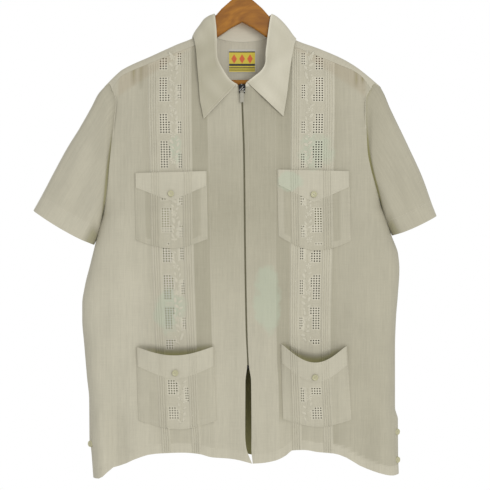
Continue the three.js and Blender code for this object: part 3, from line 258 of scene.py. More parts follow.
# Side seams: the outline of the body from the armpit to the hem
BODY_SIDE = {
    "right": table("z x", (-453, -247), (-480, -254), (-507, -261), (-541, -269.5), (-576, -278.3),
                   (-611, -283.5), (-637, -283.5), (-681, -280), (-742, -274.8), (-777, -271.3),
                   (-852, -270.4), (-864, -267.8), (-916, -263.4)),
    "left": table("z x", (-437, 247), (-450, 252), (-490, 265.5), (-523, 277), (-549, 279.1), (-593, 276.5),
                  (-637, 273), (-689, 271.3), (-794, 271.3), (-815, 276.5), (-873, 276.5), (-909, 277.5)),
}

# Hem of the fronts: its height at each place across
HEM = {
    "right": table("x z", (-264, -916), (-252, -915), (-240, -908), (-229, -897), (-210, -891), (-187, -880),
                   (-157, -871.5), (-103, -869), (-77, -870.5), (-51, -877), (-12, -881), (18, -888)),
    "left": table("x z", (18, -888), (35, -887), (58, -882), (79, -872.5), (88, -866), (110, -864.5),
                  (133, -868), (163, -870.5), (184, -878.5), (206, -892.5), (228, -901), (250, -907),
                  (266, -910), (278, -909)),
}

# Top edge of the fronts: the neckline from the zip outwards, then the seam of the yoke
TOP_EDGE = {
    "right": table("x z y", (-1.6, -229, -27.8), (-20, -226, -27.6), (-38, -215.5, -26.5), (-53, -198.5, -25),
                   (-62.5, -178, -22.8), (-67, -162, -19.5), (-70, -148, -15.5), (-83, -153.3, -14.5),
                   (-166, -186.4, -13.5), (-212, -207, -12.5), (-221, -216, -12), (-230, -232, -10.8)),
    "left": table("x z y", (1.6, -229, -27.8), (20, -226, -27.6), (38, -215.5, -26.5), (55, -198.5, -25),
                  (66, -178, -22.8), (72, -162, -19.5), (76, -148.5, -15.5), (93, -155.8, -14.5),
                  (171, -187.3, -13.5), (200, -200, -12.8), (213, -210, -12), (228, -230, -10.8)),
}

# Shoulder line: the highest line of the yoke over the hanger, from the neck to the armhole.
# backY and backDrop say where the yoke leaves the hanger at the back.
SHOULDER = {
    "right": table("x z backY backDrop", (-66, -118, 12, 9.6), (-73, -125, 12.5, 10), (-83, -136.4, 13, 11),
                   (-117, -151, 13.5, 13), (-161, -171, 13.5, 14), (-212, -194.8, 12.5, 17),
                   (-226, -206.6, 11.5, 20), (-243, -224, 11, 21)),
    "left": table("x z backY backDrop", (68, -120, 12, 9.6), (80, -132, 12.5, 10), (93, -141.5, 13, 11),
                  (137, -158, 13.5, 13), (177, -175.2, 13.5, 14), (201, -189.2, 12.5, 17),
                  (228, -210.2, 11.5, 20), (245, -225, 11, 21)),
}
ARCH_POWER = 2.6
BACK_POWER = 0.7
YOKE_NECK_X = {
    "right": {"front": -70, "top": -73, "back": -66},
    "left": {"front": 76, "top": 80, "back": 68},
}
YOKE_ARM_X = {
    "right": {"front": -230, "top": -243, "back": -230},
    "left": {"front": 228, "top": 245, "back": 228},
}

# Back neckline, from the side of the neck to the middle
BACK_NECK = table("x z y", (-66, -127.6, 12), (-50, -134.3, 20), (-28, -140.6, 24.6), (0, -142.8, 26.5),
                  (28, -140.6, 24.6), (50, -134.5, 20), (68, -129.6, 12))

# How far the fronts and the back stand from the middle plane, and how wide the sides round away
DEPTH = table("z front back round", (-140, 19, 25, 100), (-228, 28, 27, 95), (-300, 30, 29, 80),
              (-380, 31.5, 28.5, 60), (-453, 32.5, 27.5, 38), (-640, 33.5, 26, 30), (-812, 36, 24.5, 30),
              (-916, 39, 23, 30))
FOLD_RISE = 0.45
FOLD_FADE = 0.25
RIPPLE = {"broad": 0.55, "fine": 0.25, "back_shift": 40, "sleeve_scale": 1.3}
ZIP_FLAT = 25
CAMBER = 4
CHEST_HALF = 260
TOP_BLEND = 120

# Folds: a soft ridge (or a trough, where depth is negative) between two points of a panel.
# The first rows of each table are the folds of the solids, and the rest are finer ones.
FOLDS = {
    "right": table(
        "x0 z0 x1 z1 width depth",
        (-227, -770, -220, -890, 15, -8),
        (-246, -740, -246, -915, 15, 5),
        (-196, -640, -190, -880, 20, 5),
        (-30, -560, -28, -880, 22, -4),
        (-205, -470, -226, -690, 20, 4),
        (-192, -240, -196, -420, 16, 3),
        (-60, -840, -62, -876, 18, 4),
        (-212, -560, -208, -760, 9, -1.8),
        (-176, -700, -172, -860, 8, 1.4),
        (-236, -470, -252, -600, 8, -1.6),
        (-20, -300, -16, -520, 9, 1.0),
        (-205, -260, -214, -380, 7, -1.2),
        (-262, -620, -258, -800, 7, 1.5),
    ),
    "left": table(
        "x0 z0 x1 z1 width depth",
        (84, -812, 88, -866, 17, -7),
        (60, -700, 62, -880, 15, 5),
        (214, -760, 210, -897, 20, -6),
        (245, -700, 246, -909, 16, 4),
        (203, -560, 214, -720, 20, 4),
        (196, -235, 199, -420, 16, 3),
        (166, -838, 168, -874, 15, 4),
        (200, -205, 203, -236, 3.2, -1.4),
        (214, -214, 217, -238, 3.2, -1.4),
        (234, -480, 250, -640, 9, -1.8),
        (200, -420, 197, -560, 8, -1.3),
        (40, -480, 36, -700, 9, 1.1),
        (256, -640, 254, -820, 7, 1.6),
        (184, -500, 188, -690, 7, 1.2),
    ),
}
BACK_FOLDS = table(
    "x0 z0 x1 z1 width depth",
    (-190, -420, -175, -900, 26, 7),
    (-120, -600, -118, -880, 24, -6),
    (-60, -500, -50, -880, 26, 6),
    (40, -620, 42, -880, 24, -6),
    (105, -460, 98, -880, 28, 7),
    (190, -430, 182, -900, 26, -6),
    (232, -520, 236, -900, 16, 4),
    (-220, -300, -206, -470, 10, -2),
    (-150, -280, -140, -520, 12, 1.6),
    (-20, -330, -16, -560, 12, -1.5),
    (70, -300, 66, -500, 11, 1.6),
    (150, -290, 158, -520, 10, -1.8),
    (212, -300, 204, -450, 9, 1.8),
    (-245, -560, -240, -820, 9, 2),
)

# Sleeves: the outline over the top of the sleeve, and the cuff edge
SLEEVE_TOP = {
    "right": table("t x z", (0, -243, -224), (0.08, -254.6, -237), (0.18, -266, -259), (0.36, -288.8, -299.3),
                   (0.52, -309.8, -333), (0.71, -334.3, -378), (0.87, -353.5, -414.8), (1, -370, -444.5)),
    "left": table("t x z", (0, 245, -225), (0.06, 252, -238), (0.16, 261, -260), (0.25, 269.5, -278),
                  (0.47, 294, -329), (0.72, 320.3, -386.8), (0.92, 337.8, -435.8), (1, 345, -454)),
}
CUFF = {
    "right": {"tipX": -370, "tipZ": -444.5, "endX": -265, "endZ": -505.5, "bow": -3, "depth": 26, "hem": 33},
    "left": {"tipX": 345, "tipZ": -454, "endX": 269, "endZ": -489, "bow": -2, "depth": 27, "hem": 30},
}
SLEEVE_FOLDS = {
    "right": table("x0 z0 x1 z1 width depth", (-245, -300, -300, -455, 16, -5),
                   (-262, -275, -330, -440, 17, 5), (-256, -400, -292, -480, 6, -2.5),
                   (-290, -330, -345, -440, 9, -1.5)),
    "left": table("x0 z0 x1 z1 width depth", (238, -300, 285, -455, 15, -5), (256, -275, 312, -440, 16, 5),
                  (243, -230, 250, -300, 7, -2), (285, -330, 325, -440, 9, -1.5)),
}

# Collar in front: the seam (s), the fold (f) and the outer edge of the leaf (l), from the zip outwards
COLLAR_FRONT = {
    "right": table(
        "sx sy sz fx fy fz lx ly lz",
        (-3.5, -25.6, -229.5, -9.5, -27, -223.1, -67.4, -33, -284.4),
        (-20, -25.4, -227, -22.8, -26, -213.5, -70.5, -33, -268),
        (-38, -24.3, -217, -33, -24, -198, -73.5, -32, -252),
        (-53, -22.6, -200, -42, -21, -180, -76, -30, -222),
        (-62, -19.8, -179.5, -43.8, -18.5, -160, -78.5, -27, -192),
        (-65, -15.6, -164, -44, -15.5, -141, -81, -23, -163),
    ),
    "left": table(
        "sx sy sz fx fy fz lx ly lz",
        (3.5, -25.6, -229.5, 8.4, -27, -219.5, 72.6, -33, -280),
        (20, -25.4, -227, 22, -26, -209.5, 75.5, -33, -263),
        (38, -24.3, -217, 33, -24, -200, 78.8, -32, -243.3),
        (55, -22.6, -200, 40.3, -21, -187, 81.5, -30, -220),
        (65.5, -19.8, -179.5, 41.3, -18.5, -168, 84.5, -27, -196),
        (70, -15.6, -164, 43.5, -15.5, -150, 88.5, -23, -170),
    ),
}

# Collar over the hanger: the seam lies at this share of the yoke's arch
COLLAR_SHOULDER = {
    "right": table(
        "share fx fy fz lx ly lz",
        (-1, -45.4, -12.5, -120, -83.5, -19, -147),
        (-0.75, -46.8, -10.8, -106, -85.5, -13, -140),
        (-0.45, -47.8, -7, -98.8, -86.8, -7.5, -137.3),
        (0, -48, 0, -96.6, -87, 0, -136.4),
        (0.45, -47, 6, -97.2, -88, 7, -138.5),
        (0.75, -45.5, 10, -98.5, -89, 12.5, -143),
        (1, -42.5, 13.2, -100, -88, 19, -150),
    ),
    "left": table(
        "share fx fy fz lx ly lz",
        (-1, 46.6, -12.5, -128, 92.5, -19, -151),
        (-0.75, 48.4, -10.8, -112, 94.5, -13, -146),
        (-0.45, 50, -7, -101.5, 95.8, -7.5, -142.8),
        (0, 50.5, 0, -98.8, 96, 0, -142),
        (0.45, 49.5, 6, -99, 96, 7, -144),
        (0.75, 47.5, 10, -99.5, 95.5, 12.5, -148),
        (1, 43.5, 13.2, -100.5, 92, 19, -154),
    ),
}

# Collar behind the neck: its seam is the back neckline
COLLAR_BACK = table(
    "x fx fy fz lx ly lz",
    (-50, -33, 19.8, -103, -68, 27.5, -161),
    (-28, -18, 24.2, -106, -36, 32, -168),
    (0, 0, 26, -107, 0, 34, -170),
    (28, 18, 24.2, -106, 36, 32, -168),
    (50, 33, 19.8, -103, 68, 27.5, -161),
)
LEAF_BOW = 6
LEAF_WALL = 1.2
LEAF_LIFT = 1.9
LEAF_RISE = 0.6
LEAF_CLEAR = 0.7
STAND_WALL = 1.0
LEAF_SHOULDER_GAP = 1.5
LEAF_BELLY = {"least": 0.25, "at": 0.4, "wide": 0.2, "power": 0.8}
COLLAR_FINE = {"along": 5, "stand": 3, "leaf": 6}
# Collar leaf: painted shade darker to the wearer's right and mottled along its wave; paler at its top on that
# side and at the fold
COLLAR_SHADE_TONES = {"right": 0.1, "left": 0.85, "half": 40, "upper": 0.3, "upper_z": -170, "upper_fade": 40,
                "wave": 0.16, "fold": 0.75, "roll": 3.2}
STAND_SHARES = (0, 0.33, 0.67, 1)
LEAF_SHARES = (1, 0.84, 0.62, 0.38, 0.16, 0)

# Pockets: the corners of the opening and of the bottom, how low the point hangs,
# how far the mouth gapes and dips, and the pointed band along the top
POCKETS = {
    "upper_right": {"side": "right", "topX": (-188.3, -61.3), "topZ": (-379.8, -376.3), "lowX": (-186.2, -60),
                    "lowZ": (-497, -495), "point": 16, "gape": 2, "dip": 0, "bandSide": 25, "bandPoint": 44},
    "upper_left": {"side": "left", "topX": (61.3, 188.5), "topZ": (-373.6, -376.3), "lowX": (63.9, 190.8),
                   "lowZ": (-490, -498.8), "point": 21, "gape": 2, "dip": 0, "bandSide": 26, "bandPoint": 46},
    "lower_right": {"side": "right", "topX": (-185.5, -49), "topZ": (-684.3, -683.4), "lowX": (-181, -44.6),
                    "lowZ": (-812, -813), "point": 16, "gape": 16, "dip": 14, "bandSide": 33,
                    "bandPoint": 41},
    "lower_left": {"side": "left", "topX": (67.4, 183.8), "topZ": (-678.7, -682.2), "lowX": (71.8, 192),
                   "lowZ": (-810, -812), "point": 13, "gape": 26, "dip": 29, "bandSide": 33, "bandPoint": 41},
}
POCKET_LIFT = 2.2
POCKET_SEWN_LIFT = 1.0
POCKET_TURN = {"outer": 19, "inner": 11.5, "foot": 11}
POCKET_TONES = {
    "upper": {"band": 0.68, "strip": 0.2, "turned": 0.55},
    "lower": {"band": 0.92, "strip": 0.6, "turned": 0.7},
}
POCKET_FADE = {"edge": 6, "turn": 2}
DIP_POWER = 1.3
POINT_POWER = 1.7
GAPE_POWERS = (0.8, 1.3)
BAND_INSET = 0.015
BAND_GRID = (15, 61)
COVERED = {"side": 4, "top": 2, "foot": 4}
BEHIND_POCKET = {"side": 12, "top": 30, "foot": 6, "blur": 6}
HOLES_FROM = {"band": 3, "foot": 7}
BEFORE_BAND = (0, 0.06, 0.14, 0.3, 0.4, 0.5, 0.6, 0.72, 0.84, 0.97)
BEYOND_BAND = (0.03, 0.2, 0.35, 0.5, 0.62, 0.75, 0.86, 0.94, 1)
POCKET_BAND_LIFT = 0.8
BUTTON_FROM_POINT = 11

# Small pleats under the seam of the yoke, from their top to their foot
PLEATS = {
    "right": table("x0 z0 x1 z1 width", (-176, -190, -178, -232, 3.2), (-190, -196, -191, -226, 2.4)),
    "left": table("x0 z0 x1 z1 width", (200, -200, 203.5, -232, 2.4), (213.5, -210, 216.5, -236, 2.2)),
}

# The embroidered band, as shares of its width from the inner edge to the outer one
LATTICES = {
    "narrow": {"start": 0.222, "end": 0.318, "holes": 2},
    "wide": {"start": 0.487, "end": 0.745, "holes": 4},
}
PLAIN_COLUMNS = (0.39, 0.45, 0.762)
ZIP_COLUMNS = (0, 0.02, 0.06, 0.125, 0.135, 0.22, 0.32, 0.42, 0.52, 0.6, 0.672, 0.685, 0.76, 0.84, 0.92,
               0.975)
BODY_COLUMNS = (0.02, 0.1, 0.2, 0.3, 0.4, 0.5, 0.6, 0.69, 0.77, 0.84, 0.9, 0.945, 0.975, 0.992, 1)
TUCK_PROFILE = ((0.0, 0.0), (0.1, 1.0), (0.5, 0.72), (0.95, 0.3))

# Rows of holes and rows of plain cloth by turns, down the band
HOLE_GROUPS = {
    "wide": (1, 10, 3, 10, 5, 8, 3, 11, 4, 9, 3, 10, 4, 8, 5, 10, 3, 9, 4, 11, 3, 8, 5, 10, 3, 9),
    "narrow": (4, 5, 8, 6, 9, 5, 8, 6, 9, 6, 8, 5),
}

# Vine of satin stitch between the lattices: its stem winds once in a pitch, with a flower at each turn.
# Each row is a petal, leaf or bud: how far down the pitch, how far out from the stem, its turn and its size.
VINE_PITCH = 46
VINE_MIDDLE = 0.408
VINE_SWING = 0.022
LEAF_SWELL = {"middle": 0.1, "swing": 0.8, "turn": 1.2}
VINE_CHANCE = {"down": 1.6, "out": 1.2, "turn": 32, "small": 0.7, "large": 1.15}
VINE_PARTS = table(
    "down out turn long wide",
    (3, 4.4, 54, 11.5, 6), (8, -4.2, 126, 11, 5.6), (14, 4.6, 44, 10, 5.4), (19, -4.6, 138, 11, 6),
    (23, 5.4, 62, 7, 4), (27, -4.4, 124, 9.5, 5), (30.5, 4.6, 50, 10, 5), (44, -4.8, 130, 10, 5),
)
FLOWER = {"down": 37, "out": 0.6, "petals": 5, "reach": 3.2, "long": 6, "wide": 4, "heart": 2.6}
SATIN_HEIGHT = 0.3
VINE_TOP_Z = -162
VINE_STEM = {"step": 2.5, "out": 0.1, "radius": 0.4}
SATIN_SHOULDER = {"long": 0.7, "wide": 0.66, "high": 0.8, "blunt": 0.3}
SATIN_SUNK = {"rim": 0.12, "middle": 0.2}
SATIN_BAR = {"every": 1.9, "wide": 1.0, "long": 0.92, "least_rows": 2.6}

# Sewing thread: the length, width and height of a stitch that shows, and one stitch to the next
STITCH = {"long": 1.9, "wide": 0.42, "high": 0.2, "sunk": 0.18, "pitch": 2.7}
SEAM_ROLL = 0.5
POCKET_STITCH = 2.2
ROUTE = {"from_rim": 0.02, "from_side": 0.03, "down": 50, "across": 60, "band": 80}
BAND_STITCHES = (1.8, 4.4)
THREAD_OVER = 0.35
COLLAR_STITCH = 5.0
COLLAR_ROLL = 0.3
SLEEVE_STITCH = 3.0
SLEEVE_ROLL = 0.4

# What each piece was cut to, in millimetres: width and length
LEAST_OF_CUT = 0.31
CUT = {
    "front": (300, 790), "back": (590, 700), "yoke": (510, 190), "sleeve": (440, 255), "stand": (420, 36),
    "leaf": (520, 84), "facing": (60, 690), "tape": (12, 500), "pocket": (146, 160), "pocket_band": (142, 48),
    "label": (49, 43),
}

# Neck label: where it lies, how far before the yoke, and its thickness
LABEL_GRID = (21, 25)
LABEL = {"x0": -24.5, "x1": 24.5, "z0": -155, "z1": -197, "before": 2.0, "wall": 0.5}


def clamp01(v):
    return np.clip(v, 0, 1)


def mix(a, b, t):
    return a + (b - a) * t


def ease(v):
    v = clamp01(v)
    return v**2 * (3 - 2 * v)


def quarter_round(v):
    return np.sqrt(1 - (1 - clamp01(v)) ** 2)


def line_of(rows, key, column):
    """A smooth line through one column of a table, which doesn't overshoot between rows."""
    ordered = sorted(rows, key=lambda row: row[key])
    at = np.array([row[key] for row in ordered], float)
    value = np.array([row[column] for row in ordered], float)
    rise = np.diff(value) / np.diff(at)
    before, after = rise[:-1], rise[1:]
    turning = before * after <= 0
    harmonic = 2 * before * after / np.where(turning, 1, before + after)
    slope = np.concatenate([rise[:1], np.where(turning, 0, harmonic), rise[-1:]])

    def line(v):
        x = np.clip(v, at[0], at[-1])
        i = np.clip(np.searchsorted(at, x) - 1, 0, len(at) - 2)
        width = at[i + 1] - at[i]
        t = (x - at[i]) / width
        ends = (2 * t**3 - 3 * t**2 + 1) * value[i] + (3 * t**2 - 2 * t**3) * value[i + 1]
        return ends + width * ((t**3 - 2 * t**2 + t) * slope[i] + (t**3 - t**2) * slope[i + 1])

    return line


depth_front = line_of(DEPTH, "z", "front")
depth_back = line_of(DEPTH, "z", "back")
round_width = line_of(DEPTH, "z", "round")
back_neck_z = line_of(BACK_NECK, "x", "z")
back_neck_y = line_of(BACK_NECK, "x", "y")


class Side:
    """All the lines that belong to one side of the shirt."""

    def __init__(self, name, sign):
        self.name = name
        self.sign = sign
        self.armpit_z = ARMHOLE[name][-1]["z"]
        self.arm_top_z = ARMHOLE[name][0]["z"]
        self.top_z = line_of(TOP_EDGE[name], "x", "z")
        self.top_y = line_of(TOP_EDGE[name], "x", "y")
        self.hem_z = line_of(HEM[name], "x", "z")
        self.zip_x = line_of(FRONT_LINES[name], "z", "zip")
        self.inner_x = line_of(FRONT_LINES[name], "z", "inner")
        self.outer_x = line_of(FRONT_LINES[name], "z", "outer")
        self.shoulder_z = line_of(SHOULDER[name], "x", "z")
        self.shoulder_back_y = line_of(SHOULDER[name], "x", "backY")
        self.shoulder_drop = line_of(SHOULDER[name], "x", "backDrop")
        self.body_x = line_of(BODY_SIDE[name], "z", "x")
        arm_lines = ("frontX", "frontY", "backX", "backY")
        self.arm = {column: line_of(ARMHOLE[name], "z", column) for column in arm_lines}

    def edge_x(self, z, face):
        """Where the side seam or the armhole is, on the front or the back face."""
        return np.where(z > self.armpit_z, self.arm[face + "X"](z), self.body_x(z))

    def edge_y(self, z, face):
        vent = SIDE_SEAM_HALF_GAP + VENT_SPREAD * ease((VENT_TOP_Z - z) / VENT_LENGTH)
        return np.where(z > self.armpit_z, self.arm[face + "Y"](z), -vent if face == "front" else vent)


SIDES = {"right": Side("right", -1), "left": Side("left", 1)}


def fold_lift(folds, x, z):
    """How far the folds of a table lift the cloth at a place."""
    lift = 0
    for fold in folds:
        dx, dz = fold["x1"] - fold["x0"], fold["z1"] - fold["z0"]
        along = ((x - fold["x0"]) * dx + (z - fold["z0"]) * dz) / (dx * dx + dz * dz)
        away = np.abs((x - fold["x0"]) * dz - (z - fold["z0"]) * dx) / math.hypot(dx, dz)
        fade = ease(along / FOLD_RISE) * (1 - ease((along - 1) / FOLD_FADE))
        lift = lift + fold["depth"] * np.exp(-((away / fold["width"]) ** 2)) * fade
    return lift


def ripple(x, z):
    """The slight unevenness of cloth that hangs free, from waves of uneven lengths."""
    broad = np.sin(x / 21 + 1.4 * np.sin(z / 63)) * np.sin(z / 52 + x / 88)
    fine = np.sin(x / 9.5 + z / 120 + 1.1 * np.sin(z / 37)) * np.sin(z / 71)
    return RIPPLE["broad"] * broad + RIPPLE["fine"] * fine


def front_y(side, x, z):
    """The outer face of a front at a place on it."""
    inward = np.abs(side.edge_x(z, "front") - x)
    rounded = quarter_round(inward / round_width(z))
    flat = -(depth_front(z) - CAMBER * (x / CHEST_HALF) ** 2)
    body = mix(side.edge_y(z, "front"), flat, rounded)
    blend = ease((side.top_z(x) - z) / TOP_BLEND)
    near_zip = ease(np.abs(x - side.zip_x(z)) / ZIP_FLAT)
    lift = fold_lift(FOLDS[side.name], x, z) + ripple(x, z)
    return mix(side.top_y(x), body, blend) - lift * rounded * blend * near_zip


def back_y(x, z):
    """The outer face of the back at a place on it."""
    right, left = SIDES["right"], SIDES["left"]
    in_right = x - right.edge_x(z, "back")
    in_left = left.edge_x(z, "back") - x
    edge = np.where(in_right < in_left, right.edge_y(z, "back"), left.edge_y(z, "back"))
    rounded = quarter_round(np.minimum(in_right, in_left) / round_width(z))
    flat = depth_back(z) - CAMBER * (x / CHEST_HALF) ** 2
    lift = fold_lift(BACK_FOLDS, x, z) + ripple(x + RIPPLE["back_shift"], z)
    lift = lift * ease((YOKE_BACK_Z - z) / TOP_BLEND)
    return mix(edge, flat + lift, rounded)


def facing(height, x, z, way):
    """The way a face looks that is given by its height over X and Z. way is -1 for a front, 1 for a back."""
    step = 0.6
    slope_x = (height(x + step, z) - height(x - step, z)) / (2 * step)
    slope_z = (height(x, z + step) - height(x, z - step)) / (2 * step)
    n = np.stack([-way * slope_x, np.full_like(slope_x, way), -way * slope_z], axis=-1)
    return n / np.linalg.norm(n, axis=-1, keepdims=True)


def grid_normals(grid, ring=False):
    """The way that each point of a grid looks: across times down."""
    down = np.gradient(grid, axis=0)
    if ring:
        across = np.roll(grid, -1, axis=1) - np.roll(grid, 1, axis=1)
    else:
        across = np.gradient(grid, axis=1)
    n = np.cross(across, down)
    return n / np.maximum(np.linalg.norm(n, axis=-1, keepdims=True), TINY)


def to_front(normals):
    """The same normals, each turned to look to the front."""
    return np.where(normals[..., 1:2] > 0, -normals, normals)


def hem_share(above, wide):
    """1 on a hem that is this wide and 0 above it, by how far above its edge a place is."""
    return ease((wide + HEM_BLUR / 2 - above) / HEM_BLUR)


def spans(grid, axis):
    """How far each point is from the start of its row or column, along the cloth."""
    steps = np.linalg.norm(np.diff(grid, axis=axis), axis=-1)
    start = np.zeros_like(np.take(steps, [0], axis=axis))
    return np.cumsum(np.concatenate([start, steps], axis=axis), axis=axis)


def mesh_object(name, vertices, faces, material, values=None, sharp=None, smooth=True):
    """An object from points in millimetres, with attributes of these values and crisp edges where sharp."""
    mesh = bpy.data.meshes.new(name)
    mesh.from_pydata((np.asarray(vertices) * MM).tolist(), [], [list(face) for face in faces])
    for key, value in (values or {}).items():
        value = np.asarray(value, np.float32)
        kind = "FLOAT_VECTOR" if value.ndim == 2 else "FLOAT"
        layer = mesh.attributes.new(key, kind, "POINT")
        layer.data.foreach_set("vector" if value.ndim == 2 else "value", value.ravel())
    mesh.polygons.foreach_set("use_smooth", [smooth] * len(mesh.polygons))
    if sharp is not None and len(sharp):
        ends = np.empty(len(mesh.edges) * 2, np.int64)
        mesh.edges.foreach_get("vertices", ends)
        ends = np.sort(ends.reshape(-1, 2), axis=1)
        keys = np.sort(sharp, axis=1)
        count = len(vertices)
        crisp = np.isin(ends[:, 0] * count + ends[:, 1], keys[:, 0] * count + keys[:, 1])
        layer = mesh.attributes.new("sharp_edge", "BOOLEAN", "EDGE")
        layer.data.foreach_set("value", crisp)
    mesh.materials.append(material)
    mesh.update()
    made = bpy.data.objects.new(name, mesh)
    bpy.context.scene.collection.objects.link(made)
    return made


def welded(vertices, faces):
    """Joins points that fall together, and drops the faces that close up."""
    keys = np.round(vertices, 4)
    _, first, back = np.unique(keys, axis=0, return_index=True, return_inverse=True)
    back = back.ravel()
    kept = []
    for face in back[np.asarray(faces)]:
        corners = [v for i, v in enumerate(face) if v != face[i - 1]]
        if len(set(corners)) >= 3 and len(set(corners)) == len(corners):
            kept.append(corners)
    return first, kept


def shell(name, grid, normals, material, wall=WALL, ring=False, keep=None, layers=None, wood=None,
          inside=None, upright=False, behind=0.0):
    """A thin cloth shell. grid holds the rows of its outer face, and the inner face lies one wall behind.
    Cells that keep leaves out are holes. layers and wood are values of each point for the material.
    Threads run along the rows and columns, or straight across and down where the cloth is upright.
    behind is how much paler the inner face is painted: below nought a painted shade, above it a painted
    light."""
    rows, columns = grid.shape[:2]
    outer = grid.reshape(-1, 3)
    inner = (grid - normals * wall).reshape(-1, 3)
    if inside is not None:
        inner = inside(inner)
    index = np.arange(rows * columns).reshape(rows, columns)
    if ring:
        index = np.concatenate([index, index[:, :1]], axis=1)
    quads = np.stack([index[:-1, :-1], index[1:, :-1], index[1:, 1:], index[:-1, 1:]], axis=-1)
    quads = quads.reshape(-1, 4) if keep is None else quads[keep]
    first, faces = welded(outer, quads)
    used = sorted({v for face in faces for v in face})
    place = {v: i for i, v in enumerate(used)}
    source = first[used]
    faces = [[place[v] for v in face] for face in faces]
    count = len(used)
    edges = np.array([(face[i - 1], v) for face in faces for i, v in enumerate(face)])
    rim = edges[~np.isin(edges[:, 0] * count + edges[:, 1], edges[:, 1] * count + edges[:, 0])]
    solid = faces + [[v + count for v in reversed(face)] for face in faces]
    solid += [[b, a, a + count, b + count] for a, b in rim]
    if upright:
        threads = np.stack([grid[..., 0], grid[..., 2]], axis=-1)
    else:
        threads = np.stack(np.broadcast_arrays(spans(grid, 1).mean(axis=0)[None, :],
                                               spans(grid, 0).mean(axis=1)[:, None]), axis=-1)
    along = np.concatenate([threads.reshape(-1, 2), np.zeros((rows * columns, 1))], axis=1) * MM
    values = {"weave": np.tile(along[source], (2, 1))}
    for key, value in (("layers", layers), ("wood", wood)):
        value = np.zeros((rows, columns)) if value is None else value
        values[key] = np.tile(value.ravel()[source], 2)
    values["layers"][count:] += behind
    sharp = np.concatenate([rim, rim + count]) if len(rim) else None
    made = mesh_object(name, np.concatenate([outer[source], inner[source]]), solid, material, values, sharp)
    corner = outer[quads[:, 0]]
    cells = np.cross(outer[quads[:, 1]] - corner, outer[quads[:, 3]] - corner)
    made["cut_area"] = float(np.linalg.norm(cells, axis=1).sum()) * MM * MM
    return made


def dress(made, slot, *nodes, body="shirt"):
    """The piece rides on its body and stands for these nodes, whose solids are hidden. slot is not used."""
    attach(made, body)
    if nodes:
        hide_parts(*nodes)
    return made


# Materials


class Shader:
    """The nodes of one material, each linked as it is made."""

    def __init__(self, name):
        self.material = bpy.data.materials.new(name)
        self.material.use_nodes = True
        self.tree = self.material.node_tree
        self.surface = self.tree.nodes["Principled BSDF"]

    def put(self, socket, value):
        if isinstance(value, bpy.types.NodeSocket):
            self.tree.links.new(value, socket)
        else:
            socket.default_value = value[:3] if socket.type == "VECTOR" else value

    def node(self, kind, inputs, output=0, **settings):
        made = self.tree.nodes.new(kind)
        for key, value in settings.items():
            setattr(made, key, value)
        for key, value in inputs.items():
            self.put(made.inputs[key], value)
        return made.outputs[output]

    def math(self, operation, a, b=0.0, clamp=False):
        return self.node("ShaderNodeMath", {0: a, 1: b}, operation=operation, use_clamp=clamp)

    def blend(self, a, b, share):
        inputs = {0: share, 6: a, 7: b}
        return self.node("ShaderNodeMix", inputs, output=2, data_type="RGBA", clamp_factor=False)

    def attribute(self, name, output):
        return self.node("ShaderNodeAttribute", {}, output=output, attribute_name=name)

    def noise(self, where, scale, detail=2.0, roughness=0.5):
        return self.node("ShaderNodeTexNoise", {"Vector": where, "Scale": scale, "Detail": detail,
                                                "Roughness": roughness})

    def stretched(self, where, scale, location=(0, 0, 0)):
        return self.node("ShaderNodeMapping", {"Vector": where, "Scale": scale, "Location": location})

    def span(self, value, low, high, to_low=0.0, to_high=1.0):
        return self.node("ShaderNodeMapRange", {0: value, 1: low, 2: high, 3: to_low, 4: to_high})

    def place(self):
        return self.node("ShaderNodeTexCoord", {}, output=3)

    def tinted(self, base, tint):
        """A colour made paler or darker by a factor."""
        return self.node("ShaderNodeVectorMath", {0: base, 1: tint}, operation="MULTIPLY")

    def bump(self, strength, distance, height):
        return self.node("ShaderNodeBump", {"Strength": strength, "Distance": distance, "Height": height})

    def finish(self, **inputs):
        for key, value in inputs.items():
            self.put(self.surface.inputs[key.replace("_", " ")], value)
        return self.material


def colour(code, alpha=1.0):
    """A colour of the screen, such as bcb6a2, as Blender's linear numbers."""
    parts = [int(code[i:i + 2], 16) / 255 for i in (0, 2, 4)]
    return tuple(v / 12.92 if v <= 0.04045 else ((v + 0.055) / 1.055) ** 2.4 for v in parts) + (alpha,)


# Faint mint stains in the cloth of the front: middle, and half width and height, in millimetres
STAINS = table("x z wide high", (44, -600, 24, 70), (130, -338, 34, 36), (88, -394, 24, 18),
               (-116, -338, 12, 28), (-126, -622, 30, 42))
STAIN_STRENGTH = 0.42
WOOD_STRENGTH = 0.16


def stain_share(s, place):
    """How much the mint stains show: each is a ragged oval on the front."""
    axes = s.node("ShaderNodeSeparateXYZ", {0: place})
    x, y, z = axes.node.outputs
    ragged = s.span(s.noise(place, 38.0, 3.0, 0.6), 0.3, 0.7, -0.45, 0.45)
    stain = 0.0
    for row in STAINS:
        away = ragged
        for value, key, reach in ((x, "x", "wide"), (z, "z", "high")):
            off = s.math("DIVIDE", s.math("SUBTRACT", value, row[key] * MM), row[reach] * MM)
            away = s.math("ADD", away, s.math("POWER", s.math("ABSOLUTE", off), 2.0))
        stain = s.math("MAXIMUM", stain, s.span(away, 1.0, 0.45))
    in_front = s.span(y, -0.012, -0.02)
    return s.math("MULTIPLY", stain, s.math("MULTIPLY", in_front, STAIN_STRENGTH))


